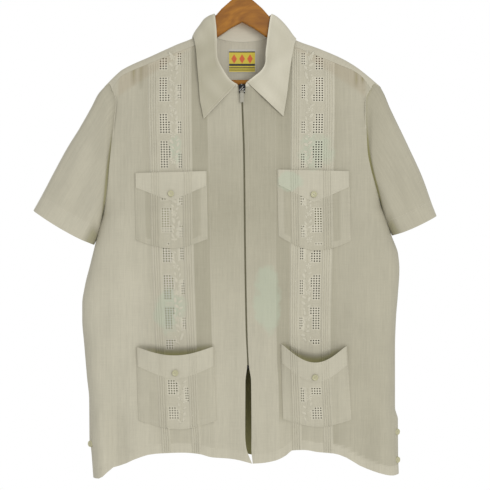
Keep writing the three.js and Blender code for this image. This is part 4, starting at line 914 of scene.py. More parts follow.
def cloth_material(name, single, double, stained=True, slub=0.10, thread=0.55):
    """Sheer linen: paler where it lies double, with upright slubs, brownish where wood shows through,
    paler still where light is painted in and dark olive where shade is painted in.
    """
    s = Shader(name)
    weave = s.attribute("weave", 1)
    place = s.place()
    layers = s.attribute("layers", 2)
    # Tones above 1 go paler than double cloth, a painted light; below 0 the next blend paints dark olive
    # shade
    base = s.blend(colour(single), colour(double), s.math("MAXIMUM", layers, 0.0))
    base = s.blend(base, colour("8e8a60"), s.span(layers, 0.0, -1.0))
    warp = s.noise(s.stretched(weave, (1.0, 0.035, 1.0)), 900.0, 3.0, 0.6)
    weft = s.noise(s.stretched(weave, (0.05, 1.0, 1.0), (3.1, 0.7, 0)), 700.0, 2.0, 0.6)
    slubs = s.noise(s.stretched(weave, (1.0, 0.02, 1.0), (0.3, 0.9, 0)), 260.0, 2.0, 0.7)
    cloudy = s.noise(place, 14.0, 3.0, 0.55)
    shade = 1.0
    for noise, low, high, share in ((warp, 0.3, 0.7, 0.5), (slubs, 0.35, 0.72, 0.32), (weft, 0.3, 0.7, 0.25),
                                    (cloudy, 0.3, 0.7, 0.35)):
        shade = s.math("ADD", shade, s.math("MULTIPLY", s.span(noise, low, high, -1, 1), slub * share))
    base = s.tinted(base, shade)
    if stained:
        base = s.blend(base, colour("b3c0aa"), stain_share(s, place))
    base = s.blend(base, colour("9a7c55"), s.math("MULTIPLY", s.attribute("wood", 2), WOOD_STRENGTH))
    height = 0.0
    for noise, share in ((warp, 0.6), (weft, 0.4), (slubs, 0.8)):
        height = s.math("ADD", height, s.math("MULTIPLY", noise, share))
    return s.finish(Base_Color=base, Normal=s.bump(thread, 0.00022, height), Roughness=0.86,
                    Sheen_Weight=0.12, Sheen_Roughness=0.5, Specular_IOR_Level=0.25)


def plain_material(name, code, roughness, metallic=0.0, speckle=0.06, scale=180.0, bump=0.08, **more):
    """Thread, horn, enamel or metal: one colour that varies a little, with a fine surface."""
    s = Shader(name)
    grain = s.noise(s.place(), scale, 3.0, 0.6)
    base = s.tinted(colour(code), s.math("ADD", 1.0, s.span(grain, 0.3, 0.7, -speckle, speckle)))
    rough = s.math("ADD", roughness, s.span(grain, 0.3, 0.7, -0.06, 0.06), clamp=True)
    return s.finish(Base_Color=base, Roughness=rough, Metallic=metallic, Normal=s.bump(bump, 0.0002, grain),
                    **more)


def wood_material():
    """Lacquered brown wood, its grain running across the hanger."""
    s = Shader("lacquered_wood")
    place = s.place()
    along = s.stretched(place, (0.25, 6.0, 9.0))
    wavy = s.node("ShaderNodeVectorMath", {0: along, 1: s.noise(place, 6.0, 2.0, 0.5)}, operation="ADD")
    grain = s.noise(wavy, 12.0, 4.0, 0.5)
    pores = s.noise(s.stretched(place, (0.2, 12.0, 16.0)), 110.0, 2.0, 0.6)
    base = s.blend(colour("855212"), colour("a76e1c"), s.span(grain, 0.3, 0.7))
    base = s.blend(base, colour("6b3f12"), s.span(pores, 0.62, 0.78, 0.0, 0.3))
    return s.finish(Base_Color=base, Normal=s.bump(0.15, 0.0003, pores), Roughness=0.42,
                    Specular_IOR_Level=0.25, Coat_Weight=0.12, Coat_Roughness=0.2)


def glinting_enamel_material():
    """Black enamel with painted glints: bright metal spots by noise stand in for its highlights."""
    s = Shader("chipped_enamel")
    glint_spots = s.span(s.noise(s.place(), 420.0, 2.0, 0.5), 0.57, 0.61)
    # Painted highlights: spots of bright metal
    base = s.blend(colour("121214"), colour("b9b8b2"), glint_spots)
    return s.finish(Base_Color=base, Roughness=0.25, Metallic=0.7)


CLOTH = cloth_material("sheer_linen", "a6a18d", "bfbaa7")
COLLAR_CLOTH = cloth_material("collar_linen", "aca792", "cac5b2", stained=False, slub=0.04)
THREAD = plain_material("cream_thread", "cfc9b6", 0.6, Sheen_Weight=0.2, Sheen_Roughness=0.4)
SILK = plain_material("satin_thread", "c3beab", 0.7, Sheen_Weight=0.3, Sheen_Roughness=0.3)
BUTTON = plain_material("horn_button", "b6b28f", 0.4, Coat_Weight=0.15, Coat_Roughness=0.2, bump=0.03)
TAPE = plain_material("zip_tape", "a9a48c", 0.8, scale=900.0, bump=0.4)
TEETH = plain_material("zip_teeth", "6f6b50", 0.4, bump=0.05)
BLACK = plain_material("black_enamel", "17171a", 0.22, metallic=0.7, scale=400.0)
ENAMEL_GLINTS = glinting_enamel_material()
WORN = plain_material("worn_steel", "8f8c80", 0.45, metallic=0.85, scale=500.0, speckle=0.04, bump=0.02)
BRIGHT = plain_material("bright_steel", "c9cacb", 0.24, metallic=1.0, scale=300.0)
WOOD = wood_material()


# Fronts


def lattice_columns():
    """Columns of the band: share, lift, and the lattice whose holes lie between a column and the next."""
    columns = []
    for start in (0, 1 - TUCK_GROUP_SHARE):
        for i in range(TUCKS_IN_GROUP):
            for along, lift in TUCK_PROFILE:
                share = start + (i + along) / TUCKS_IN_GROUP * TUCK_GROUP_SHARE
                columns.append((share, lift * TUCK_HEIGHT, None))
        columns.append((start + TUCK_GROUP_SHARE, 0.0, None))
    for key, lattice in LATTICES.items():
        pitch = (lattice["end"] - lattice["start"]) / lattice["holes"]
        for i in range(lattice["holes"]):
            middle = lattice["start"] + pitch * (i + 0.5)
            columns.append((middle - pitch * HOLE_SHARE / 2, 0.0, (key, i)))
            columns.append((middle + pitch * HOLE_SHARE / 2, 0.0, None))
    columns += [(share, 0.0, None) for share in PLAIN_COLUMNS]
    return sorted(columns, key=lambda column: column[0])


BAND_COLUMNS = lattice_columns()


def vine_share(z):
    """Where the vine's stem is across the band, at a height."""
    return VINE_MIDDLE + VINE_SWING * np.sin(2 * np.pi * z / VINE_PITCH)


def open_holes(key, z):
    """Which holes of a row are drawn: those next to the vine stay closed where it swells towards them."""
    winding = math.sin(2 * math.pi * z / VINE_PITCH + LEAF_SWELL["turn"])
    closed = LEAF_SWELL["middle"] + LEAF_SWELL["swing"] * winding if key == "wide" else -1
    return [hole >= closed for hole in range(LATTICES[key]["holes"])]


def hole_rows(bottom):
    """Heights of the rows down to bottom, and for each lattice whether each hole is open under a row."""
    heights, open_under = [], {key: [] for key in LATTICES}
    groups = {}
    for key, lengths in HOLE_GROUPS.items():
        groups[key] = [i % 2 == 1 for i, length in enumerate(lengths) for _ in range(length)]
    row, z = 0, BAND_TOP_Z
    while z > bottom:
        heights += [z, z - HOLE_HEIGHT]
        for key, pattern in groups.items():
            shut = [False] * LATTICES[key]["holes"]
            drawn = BAND_END_Z + HOLE_ROW < z and pattern[row % len(pattern)]
            open_under[key] += [open_holes(key, z) if drawn else shut, shut]
        row += 1
        z -= HOLE_ROW
    heights.append(z)
    for key in open_under:
        open_under[key].append([False] * LATTICES[key]["holes"])
    return np.array(heights), {key: np.array(value) for key, value in open_under.items()}


ROW_HEIGHTS, OPEN_UNDER = hole_rows(ROWS_END_Z)


def wood_near(x, y, z):
    """How much the hanger shows through the cloth, from 0 to 1: it does where the wood is close behind."""
    line = WOOD_SHOW["top"] - WOOD_SHOW["fall"] * np.abs(x)
    below = ease((line - z) / WOOD_BLUR["top"])
    above = 1 - ease((line - WOOD_SHOW["high"] - z) / WOOD_BLUR["foot"])
    close = 1 - ease((np.abs(y) - WOOD_SHOW["deep"]) / WOOD_BLUR["deep"])
    return below * above * close * (1 - ease((np.abs(x) - WOOD_SHOW["half"]) / WOOD_BLUR["end"]))


def pockets_on(side):
    return [pocket for pocket in POCKETS.values() if pocket["side"] == side.name]


def belly_of(across):
    """How slack an edge hangs: 0 at both its ends and 1 in the middle."""
    return 1 - (2 * across - 1) ** 2


def rim_of(pocket, across):
    """The height of a pocket's rim, which dips where the mouth gapes."""
    return mix(*pocket["topZ"], across) - pocket["dip"] * belly_of(across) ** DIP_POWER


def bottom_of(pocket, across):
    """The height of a pocket's lower edge, which comes to a blunt point."""
    return mix(*pocket["lowZ"], across) - pocket["point"] * (1 - np.abs(2 * across - 1) ** POINT_POWER)


def band_drop(pocket, across):
    """How far the pointed band comes down from the rim."""
    return mix(pocket["bandPoint"], pocket["bandSide"], np.abs(2 * across - 1))


def pocket_size(pocket):
    """Width of a pocket's mouth, and height of its inner side."""
    return pocket["topX"][1] - pocket["topX"][0], pocket["topZ"][0] - pocket["lowZ"][0]


def pocket_over(side, x, z):
    """True where a pocket covers the front."""
    covered = np.zeros(x.shape, bool)
    for pocket in pockets_on(side):
        left, right = pocket["topX"]
        inside = (x > left + COVERED["side"]) & (x < right - COVERED["side"])
        inside &= (z < max(pocket["topZ"]) - COVERED["top"]) & (z > min(pocket["lowZ"]) + COVERED["foot"])
        covered |= inside
    return covered


def front_columns():
    """(stretch, share, lift, lattice) of each column: zip to band, band, band to side."""
    return ([(0, share, 0.0, None) for share in ZIP_COLUMNS] + [(1, *column) for column in BAND_COLUMNS]
            + [(2, share, 0.0, None) for share in BODY_COLUMNS])


def column_x(side, stretch, share, z):
    edges = (side.zip_x(z), side.inner_x(z), side.outer_x(z), side.edge_x(z, "front"))
    return mix(edges[stretch], edges[stretch + 1], share)


def end_of(height_at, guess):
    """The height at which a column meets an edge, whose height is given by where the column is."""
    for _ in range(END_ROUNDS):
        guess = float(height_at(guess))
    return guess


def panel(columns, x_of, top_of, low_of):
    """Points over X and Z of a panel with level rows, which its top and bottom edges cut off."""
    x = np.empty((len(ROW_HEIGHTS), len(columns)))
    z = np.empty_like(x)
    for c, column in enumerate(columns):
        top = end_of(lambda height: top_of(x_of(column, height)), TOP_GUESS)
        low = end_of(lambda height: low_of(x_of(column, height)), LOW_GUESS)
        z[:, c] = np.clip(ROW_HEIGHTS, low, top)
        x[:, c] = x_of(column, z[:, c])
    return x, z


def cells_of(z, lattices, first, closed):
    """Which cells of a panel are cloth, and which are drawn holes. first is its first row of heights."""
    tall = np.abs(np.diff(z, axis=0)) > LEVEL
    whole = tall[:, :-1] & tall[:, 1:]
    drawn = np.zeros(whole.shape, bool)
    for c, lattice in enumerate(lattices):
        if lattice:
            key, hole = lattice
            drawn[:, c] = OPEN_UNDER[key][first:first + len(whole), hole] & whole[:, c] & ~closed[:, c]
    return (tall[:, :-1] | tall[:, 1:]) & ~drawn, drawn


def bar_share(drawn):
    """1 at the corners of the drawn holes, where the threads between them are drawn together, else 0."""
    rows, columns = drawn.shape
    beside = np.zeros((rows + 1, columns + 1))
    for down in (0, 1):
        for across in (0, 1):
            corner = beside[down:down + rows, across:across + columns]
            np.maximum(corner, drawn, out=corner)
    return beside


def mouth_share(side, x, z):
    """How much a place on the front lies in the shade behind the mouth of a pocket that gapes."""
    share = np.zeros(np.shape(x))
    for pocket in pockets_on(side):
        if pocket["dip"]:
            across = clamp01((x - pocket["topX"][0]) / pocket_size(pocket)[0])
            belly = belly_of(across)
            rim = rim_of(pocket, across)
            above = 1 - clamp01((z - rim) / (MOUTH_REACH * mix(MOUTH_END_SHARE, 1, belly)))
            near = np.where(z < rim, 1 - ease((rim - z) / MOUTH_FADE), ease(above))
            share = np.maximum(share, near * belly**MOUTH_POWER)
    return share


def facing_tone(side, z):
    """The facing's paleness down the front: it lies closer to the cloth near the neck and the hem."""
    tones = FACING_TONES[side.name]
    levels = {key: tones.get(key, tones["foot"]) for key in FACING_FADE}
    return np.interp(z, list(FACING_FADE.values()), list(levels.values()))


def pleat_share(side, x, z):
    """The small pleats that the yoke's seam holds: 1 in the middle of each, fading down."""
    share = np.zeros(np.shape(x))
    for row in PLEATS[side.name]:
        down = clamp01((row["z0"] - z) / (row["z0"] - row["z1"]))
        middle = mix(row["x0"], row["x1"], down)
        within = np.exp(-(((x - middle) / (row["width"] * (1 - 0.5 * down))) ** 2)) * (z <= row["z0"] + 4)
        share = np.maximum(share, within * (1 - down) ** PLEAT_POWER)
    return share


def behind_pocket(side, x, z):
    """Where a pocket lies over the front, well inside its edges, which is painted in deep shade:
    only its holes show the front there.
    """
    behind = np.zeros(np.shape(x))
    for pocket in pockets_on(side):
        left, right = ((pocket["topX"][i] + pocket["lowX"][i]) / 2 for i in (0, 1))
        within = np.minimum(x - left, right - x)
        within = np.minimum(within, min(pocket["topZ"]) - BEHIND_POCKET["top"] - z)
        within = np.minimum(within, z - max(pocket["lowZ"]) - BEHIND_POCKET["foot"])
        behind = np.maximum(behind, ease((within - BEHIND_POCKET["side"]) / BEHIND_POCKET["blur"]))
    return behind


def front_tones(side, stretch, share, x, z):
    """Paleness over a front: its facing, strips, tucks, band, body and hem, with painted shade beside the
    band.
    """
    tucks = (share <= TUCK_GROUP_SHARE + SHARE_SLACK) | (share >= 1 - TUCK_GROUP_SHARE - SHARE_SLACK)
    body = mix(*BODY_TONES[side.name], ease((BODY_FADE["top"] - z) / BODY_FADE["long"]))
    # Painted shade on the body beside the band's outer edge
    body -= BAND_EDGE_SHADE["depth"] * np.exp(-np.abs(x - side.outer_x(z)) / BAND_EDGE_SHADE["wide"])
    strip = mix(STRIP_TONE, STRIP_FOOT_TONE, ease((BAND_END_Z + STRIP_FADE / 2 - z) / STRIP_FADE))
    tone = np.where(stretch == 2, body, strip)
    tone = np.where(stretch == 1, np.where(tucks, TUCK_TONE, GROUND_TONE), tone)
    tone[(z < BAND_END_Z - BAND_END_GAP) & (stretch == 1) & ~tucks] = BELOW_BAND_TONE
    tone = np.where((stretch == 0) & (share <= FACING_SHARES[1]), facing_tone(side, z), tone)
    return np.maximum(tone, hem_share(z - side.hem_z(x), HEM_BAND))


def make_front(side):
    columns = front_columns()

    def x_of(column, z):
        return column_x(side, column[0], column[1], z)

    def height(u, v):
        return front_y(side, u, v)

    def inside(points):
        points[:, 1] = np.minimum(points[:, 1], -SIDE_SEAM_HALF_GAP)
        return points

    x, z = panel(columns, x_of, lambda v: side.top_z(v) - SEAM_GAP, side.hem_z)
    mouth, pleats = mouth_share(side, x, z), pleat_share(side, x, z)
    y = height(x, z) + MOUTH_HOLLOW * mouth + PLEAT_DEPTH * pleats
    normals = facing(height, x, z, -1)
    stretch, share, tuck = (np.array([column[i] for column in columns]) for i in range(3))
    lift = tuck * (1 - ease((z - side.top_z(x) + TUCK_FADE) / TUCK_FADE))
    grid = np.stack([x, y, z], axis=-1) + normals * lift[..., None]
    closed = pocket_over(side, x, z)[:-1, :-1]
    keep, drawn = cells_of(z, [column[3] for column in columns[:-1]], 0, closed)
    # Painted shade behind the gaping pocket mouths, in the yoke's pleats and under the pockets
    layers = mix(front_tones(side, stretch, share, x, z), -MOUTH_SHADE, mouth)
    layers = mix(layers, -PLEAT_SHADE, pleats)
    layers = mix(layers, BEHIND_POCKET_PAINTED_SHADE, behind_pocket(side, x, z))
    layers = mix(layers, BAR_TONE, bar_share(drawn))
    wood = wood_near(x, y, z)
    parts = (grid, normals, keep, layers, wood)
    grid, normals, keep, layers, wood = (part[:, ::-side.sign] for part in parts)
    return shell("front_" + side.name + "_cloth", grid, normals, CLOTH, keep=keep, layers=layers, wood=wood,
                 inside=inside, upright=True)


def smooth_rows(points, factor):
    """More rows between those given, on a smooth curve through them."""
    count = len(points)
    padded = np.concatenate([2 * points[:1] - points[1:2], points, 2 * points[-1:] - points[-2:-1]])
    t = np.linspace(0, count - 1, (count - 1) * factor + 1)
    i = np.minimum(t.astype(int), count - 2)
    f = (t - i).reshape((-1,) + (1,) * (points.ndim - 1))
    a, b, c, d = (padded[i + k] for k in range(4))
    return 0.5 * (2 * b + (c - a) * f + (2 * a - 5 * b + 4 * c - d) * f**2 + (3 * b - a - 3 * c + d) * f**3)


def smooth_ring(points, factor):
    """The same for rows that close into a ring."""
    wrapped = np.concatenate([points[-2:], points, points[:3]])
    return smooth_rows(wrapped, factor)[2 * factor:-3 * factor]


def make_back():
    rows, columns = BACK_GRID
    shares = 0.5 - 0.5 * np.cos(np.linspace(0, np.pi, columns))
    right, left = SIDES["right"], SIDES["left"]
    middle = HEM["left"][0]["x"]

    def column_at(share, z):
        return mix(right.edge_x(z, "back"), left.edge_x(z, "back"), share)

    def hem(x):
        return np.where(x < middle, right.hem_z(x), left.hem_z(x)) + BACK_HEM_RISE

    def inside(points):
        points[:, 1] = np.maximum(points[:, 1], SIDE_SEAM_HALF_GAP)
        return points

    z = np.empty((rows, len(shares)))
    for c, share in enumerate(shares):
        low = end_of(lambda height: hem(column_at(share, height)), LOW_GUESS)
        z[:, c] = np.linspace(YOKE_BACK_Z - SEAM_GAP, low, rows)
    x = column_at(shares[None, :], z)
    y = back_y(x, z)
    layers = mix(BACK_TONE, 1, hem_share(z - hem(x), HEM_BAND))
    # Its inner face carries a painted shade
    return shell("back_cloth", np.stack([x, y, z], axis=-1), facing(back_y, x, z, 1), CLOTH, layers=layers,
                 wood=wood_near(x, y, z), inside=inside, upright=True, behind=BACK_INSIDE_PAINTED_SHADE)


# Yoke


def shoulder_point(side, x, share):
    """The yoke over the hanger: share runs from -1 at the front seam over 0 to 1 at the back."""
    q = abs(share)
    line = side.shoulder_z(x)
    if share < 0:
        return np.array([x, side.top_y(x) * q, line - (line - side.top_z(x)) * q**ARCH_POWER])
    return np.array([x, side.shoulder_back_y(x) * q, line - side.shoulder_drop(x) * q**ARCH_POWER])


def across_share(places, share):
    end = places["front"] if share < 0 else places["back"]
    return mix(places["top"], end, abs(share))


ARCH = np.linspace(-1, 1, 33)
YOKE_STEPS = np.linspace(0, 1, 49)
YOKE_BACK_SHARES = np.linspace(0, 1, 17)[1:]
NECK_COLUMNS = np.linspace(-66, 68, 25)[1:-1]


def behind_neck(p, foot_x):
    """The yoke from the back of the hanger down to its seam."""
    foot_y = float(back_y(np.array(foot_x, float), np.array(float(YOKE_BACK_Z))))
    return [np.array([mix(p[0], foot_x, s), mix(p[1], foot_y, s**BACK_POWER), mix(p[2], YOKE_BACK_Z, s)])
            for s in YOKE_BACK_SHARES]


def make_yoke():
    def shoulder_column(side, step):
        neck, arm = YOKE_NECK_X[side.name], YOKE_ARM_X[side.name]
        across = [mix(across_share(neck, s), across_share(arm, s), step) for s in ARCH]
        top = [shoulder_point(side, x, s) for x, s in zip(across, ARCH)]
        foot_x = mix(neck["back"], float(side.edge_x(np.array(YOKE_BACK_Z), "back")), step)
        return top + behind_neck(top[-1], foot_x)

    def neck_column(x):
        p = np.array([x, float(back_neck_y(x)), float(back_neck_z(x))])
        return [p] * len(ARCH) + behind_neck(p, x)

    right = [shoulder_column(SIDES["right"], step) for step in YOKE_STEPS[::-1]]
    left = [shoulder_column(SIDES["left"], step) for step in YOKE_STEPS]
    between = [neck_column(x) for x in NECK_COLUMNS]
    grid = np.array(right + between + left).transpose(1, 0, 2)
    rows, columns = grid.shape[:2]
    keep = np.ones((rows - 1, columns - 1), bool)
    keep[:len(ARCH) - 1, len(right) - 1:len(right) + len(between)] = False
    normals = grid_normals(grid)
    column = np.arange(columns)
    at_neck = (column >= len(right)) & (column < len(right) + len(between))
    normals[:len(ARCH), at_neck] = normals[len(ARCH), at_neck]
    wood = wood_near(grid[..., 0], grid[..., 1] * YOKE_WOOD["flat"], grid[..., 2]) * YOKE_WOOD["share"]
    # Its inner face carries a painted light
    return shell("yoke_cloth", grid, normals, CLOTH, keep=keep, layers=np.ones((rows, columns)), wood=wood,
                 behind=YOKE_INSIDE_PAINTED_LIGHT)


# Sleeves


# Shares of the armhole at which a sleeve's columns start: over the yoke, and down a front or the back
ARCH_STOPS = (0.25, 0.45, 0.6, 0.75, 0.88, 1)
DOWN_STOPS = (0.06, 0.11, 0.16, 0.24, 0.32, 0.42, 0.52, 0.62, 0.72, 0.8, 0.87, 0.93, 0.98)
OVER_ROUND = 0.1
BACK_ROUND = 0.12


def armhole_loop(side):
    """(point, round, front) round the armhole: round is 0 at the top of the shoulder and 1 at the armpit."""
    arm = YOKE_ARM_X[side.name]

    def over(share):
        return shoulder_point(side, across_share(arm, share), share), abs(share) * OVER_ROUND, share < 0

    def beside(top, share, start, face):
        z = np.array(mix(top - SEAM_GAP, side.armpit_z, share))
        p = np.array([side.edge_x(z, face), side.edge_y(z, face), z], float)
        return p, mix(start, 1, share), face == "front"

    places = [over(-share) for share in ARCH_STOPS]
    places += [beside(side.arm_top_z, share, OVER_ROUND, "front") for share in DOWN_STOPS]
    armpit = np.array([float(side.edge_x(np.array(side.armpit_z), "back")), 0, side.armpit_z])
    places.append((armpit, 1, True))
    places += [beside(YOKE_BACK_Z, share, BACK_ROUND, "back") for share in (*DOWN_STOPS[::-1], 0)]
    places += [over(share) for share in ARCH_STOPS[::-1]]
    places.append((shoulder_point(side, arm["top"], 0), 0, True))
    return places


def cuff_point(side, rounded, front):
    cuff = CUFF[side.name]
    x = mix(cuff["tipX"], cuff["endX"], rounded)
    z = mix(cuff["tipZ"], cuff["endZ"], rounded) + cuff["bow"] * math.sin(math.pi * rounded)
    power, root = CUFF_POWERS
    depth = cuff["depth"] * (1 - abs(2 * rounded - 1) ** power) ** (1 / root)
    return np.array([x, -depth if front else depth, z])


def sleeve_point(side, outline, place, t):
    """A point of the sleeve: place is its column's start at the armhole, and t how far to the cuff it is."""
    p, rounded, front = place
    head, cuff_top, top_x, top_z = outline
    grown = mix(p, cuff_point(side, rounded, front), t)
    line = mix(head, cuff_top, t)
    share = (1 - rounded) ** 2
    outwards = -1 if front else 1
    at_head = float(clamp01(1 - rounded / HEAD_REACH)) * (1 - t)
    grown[0] += (top_x(t) - line[0]) * share + side.sign * ARMHOLE_GAP * (1 - t)
    grown[2] += (top_z(t) - line[2]) * share - HEAD_DROP * at_head
    valley = math.exp(-(((t - ARMHOLE_VALLEY["at"]) / ARMHOLE_VALLEY["wide"]) ** 2))
    beside = max(0.0, math.sin(math.pi * min(1, rounded * ARMHOLE_VALLEY["round"])))
    valley *= beside ** ARMHOLE_VALLEY["power"] * clamp01(t / ARMHOLE_VALLEY["start"])
    grown[1] -= outwards * ARMHOLE_VALLEY["depth"] * valley
    under = clamp01(rounded / TUCK_IN["ends"]) * clamp01((1 - rounded) / TUCK_IN["ends"])
    under = under * clamp01(1 - t / TUCK_IN["reach"])
    grown[0] -= side.sign * TUCK_IN["aside"] * under
    grown[1] -= outwards * TUCK_IN["behind"] * under
    hug = float(ease((rounded - SLEEVE_HUG["from"]) / (1 - SLEEVE_HUG["from"])))
    grown[0] -= side.sign * SLEEVE_HUG["depth"] * hug * math.sin(math.pi * min(1, t * SLEEVE_HUG["down"]))
    body = math.sin(math.pi * t) * math.sin(math.pi * rounded)
    lift = fold_lift(SLEEVE_FOLDS[side.name], grown[0], grown[2])
    lift += ripple(grown[0] * RIPPLE["sleeve_scale"], grown[2])
    grown[1] += outwards * body * (lift + SLEEVE_BELLY)
    return grown


def sleeve_tones(side, length, rounded):
    """Paleness over a sleeve, by how far from the armhole a place is and how far round it,
    with painted shade along the armhole seam and under the arm.
    """
    down = length / length[-1:]
    tones = SLEEVE_TONES[side.name]
    hem = hem_share(length[-1:] - length, CUFF[side.name]["hem"])
    tone = mix(mix(tones["head"], tones["middle"], ease(2 * down)), tones["hem"], hem)
    # Painted shade along the armhole seam and under the arm
    lower = ease(2 * (rounded - LOWER_FROM))
    middle = ARMHOLE_SHADE["at"] + ARMHOLE_SHADE["lower_at"] * lower
    wide = ARMHOLE_SHADE["wide"] + ARMHOLE_SHADE["lower_wide"] * lower
    near = np.exp(-(((length - middle) / wide) ** 2)) * ease(rounded / ARMHOLE_SHADE["round"])
    under = ease((rounded - UNDERARM_PAINTED_SHADE["round"]) / UNDERARM_PAINTED_SHADE["round_fade"])
    under = under * ease((down - UNDERARM_PAINTED_SHADE["down"]) / UNDERARM_PAINTED_SHADE["down_fade"])
    return mix(tone - ARMHOLE_SHADE["depth"] * near, UNDERARM_PAINTED_SHADE["tone"], UNDERARM_PAINTED_SHADE["share"] * under)


def make_sleeve(side):
    rows = SLEEVE_TOP[side.name]
    head = np.array([rows[0]["x"], 0, rows[0]["z"]], float)
    outline = head, cuff_point(side, 0, True), line_of(rows, "t", "x"), line_of(rows, "t", "z")
    loop = armhole_loop(side)
    steps = np.linspace(0, 1, SLEEVE_STEPS)
    grid = np.array([[sleeve_point(side, outline, place, t) for place in loop] for t in steps])
    grid = smooth_ring(grid.transpose(1, 0, 2), 3).transpose(1, 0, 2)[:, ::side.sign]
    rounded = clamp01(smooth_ring(np.array([[place[1]] for place in loop]), 3)[::side.sign, 0])[None]
    normals = grid_normals(grid, ring=True)
    made = shell("sleeve_" + side.name + "_cloth", grid, normals, CLOTH, ring=True,
                 layers=sleeve_tones(side, spans(grid, 0), rounded))
    return made, grid, normals


# Collar


def collar_stations():
    """(seam, fold, edge) from the right end of the zip round the neck to the left end."""
    def point(row, prefix):
        return np.array([row[prefix + axis] for axis in "xyz"], float)

    def one_side(side):
        front = [(point(row, "s"), point(row, "f"), point(row, "l")) for row in COLLAR_FRONT[side.name]]
        over = []
        for row in COLLAR_SHOULDER[side.name]:
            seam = shoulder_point(side, across_share(YOKE_NECK_X[side.name], row["share"]), row["share"])
            over.append((seam, point(row, "f"), point(row, "l")))
        return front + over

    back = []
    for row in COLLAR_BACK:
        seam = np.array([row["x"], back_neck_y(row["x"]), back_neck_z(row["x"])], float)
        back.append((seam, point(row, "f"), point(row, "l")))
    return np.array(one_side(SIDES["right"]) + back + one_side(SIDES["left"])[::-1])


def clear_of_shirt(p):
    """A point of the leaf, moved out where it would touch the front or the shoulder."""
    side = SIDES["right"] if p[0] < 0 else SIDES["left"]
    gap = LEAF_WALL + SEAM_GAP + LEAF_CLEAR
    if p[2] < side.top_z(p[0]) and p[1] < 0:
        p[1] = min(p[1], float(front_y(side, p[0], p[2])) - gap)
    if abs(p[0]) > abs(YOKE_NECK_X[side.name]["back"]) and p[2] > side.top_z(p[0]):
        q = -p[1] / abs(side.top_y(p[0])) if p[1] < 0 else p[1] / side.shoulder_back_y(p[0])
        q = min(1.0, max(0.0, float(q)))
        shoulder = shoulder_point(side, p[0], -q if p[1] < 0 else q)
        p[2] = max(p[2], shoulder[2] + gap * LEAF_SHOULDER_GAP)
    return p


def collar_grids():
    stations = collar_stations()
    seam, fold, edge = stations[:, 0], stations[:, 1], stations[:, 2]
    count = len(stations)
    before = np.maximum(np.arange(count) - 1, 0)
    after = np.minimum(np.arange(count) + 1, count - 1)
    rise = fold - seam
    normal = np.cross(rise, (fold + seam)[after] - (fold + seam)[before])
    normal /= np.linalg.norm(normal, axis=1, keepdims=True)
    rise = rise / np.linalg.norm(rise, axis=1, keepdims=True)
    stand = np.stack([mix(seam, fold, s) + rise * mix(SEAM_GAP, -LEAF_RISE, s) - normal * SEAM_GAP / 2
                      for s in STAND_SHARES], axis=1)
    share = np.abs(2 * np.arange(count) / (count - 1) - 1)
    near = np.exp(-(((share - LEAF_BELLY["at"]) / LEAF_BELLY["wide"]) ** 2))
    bow = LEAF_BOW * mix(LEAF_BELLY["least"], 1, near)[:, None]
    start = fold + normal * LEAF_LIFT + np.array([0, 0, LEAF_RISE])
    leaf = np.stack([mix(start, edge, s) + normal * math.sin(math.pi * s ** LEAF_BELLY["power"]) * bow
                     for s in LEAF_SHARES], axis=1)
    leaf = np.apply_along_axis(clear_of_shirt, -1, leaf)
    stand = refine(stand, COLLAR_FINE["along"], COLLAR_FINE["stand"])
    leaf = refine(leaf, COLLAR_FINE["along"], COLLAR_FINE["leaf"])
    return stand, leaf + grid_normals(leaf) * collar_wave(leaf[..., 0], leaf[..., 2])[..., None]


def collar_wave(x, z):
    """The shallow unevenness of the pressed collar."""
    broad = np.sin(x / 8.5 + 1.7 * np.sin(z / 19)) * np.sin(z / 15 + x / 31)
    return broad + 0.6 * np.sin(x / 17 - z / 23 + 1.1)


def collar_shaded_tone(grid):
    """Paleness of the collar leaf, with painted shade: darker towards the wearer's right, where less light
    falls, mottled along the collar's unevenness, paler near the top on the wearer's right, and pale where it
    folds over.
    """
    x, z = grid[..., 0], grid[..., 2]
    from_fold = spans(grid, 1)[:, -1:] - spans(grid, 1)
    tones, half = COLLAR_SHADE_TONES, COLLAR_SHADE_TONES["half"]
    tone = mix(tones["right"], tones["left"], ease((x + half) / (2 * half)))
    tone = tone + tones["upper"] * ease((z - tones["upper_z"]) / tones["upper_fade"]) * (x < 0)
    tone = tone + tones["wave"] * collar_wave(x, z)
    return tone + tones["fold"] * np.exp(-((from_fold / tones["roll"]) ** 2))


def refine(grid, down, across):
    return smooth_rows(smooth_rows(grid, down).transpose(1, 0, 2), across).transpose(1, 0, 2)


# Pockets


def pocket_point(pocket, across, down, lift):
    """A point of a pocket, this far off the front, where its mouth gapes besides."""
    x = mix(mix(*pocket["topX"], across), mix(*pocket["lowX"], across), down)
    z = mix(rim_of(pocket, across), bottom_of(pocket, across), down)
    slack = np.maximum(belly_of(across), 0) ** GAPE_POWERS[0] * np.maximum(1 - down, 0) ** GAPE_POWERS[1]
    gape = pocket["gape"] * slack
    return np.stack([x, front_y(SIDES[pocket["side"]], x, z) - lift - gape, z], axis=-1)


def band_edges(pocket):
    """Inner and outer edge of the front's band at the middle of a pocket."""
    side, middle = SIDES[pocket["side"]], (pocket["topZ"][0] + pocket["lowZ"][0]) / 2
    return float(side.inner_x(middle)), float(side.outer_x(middle))


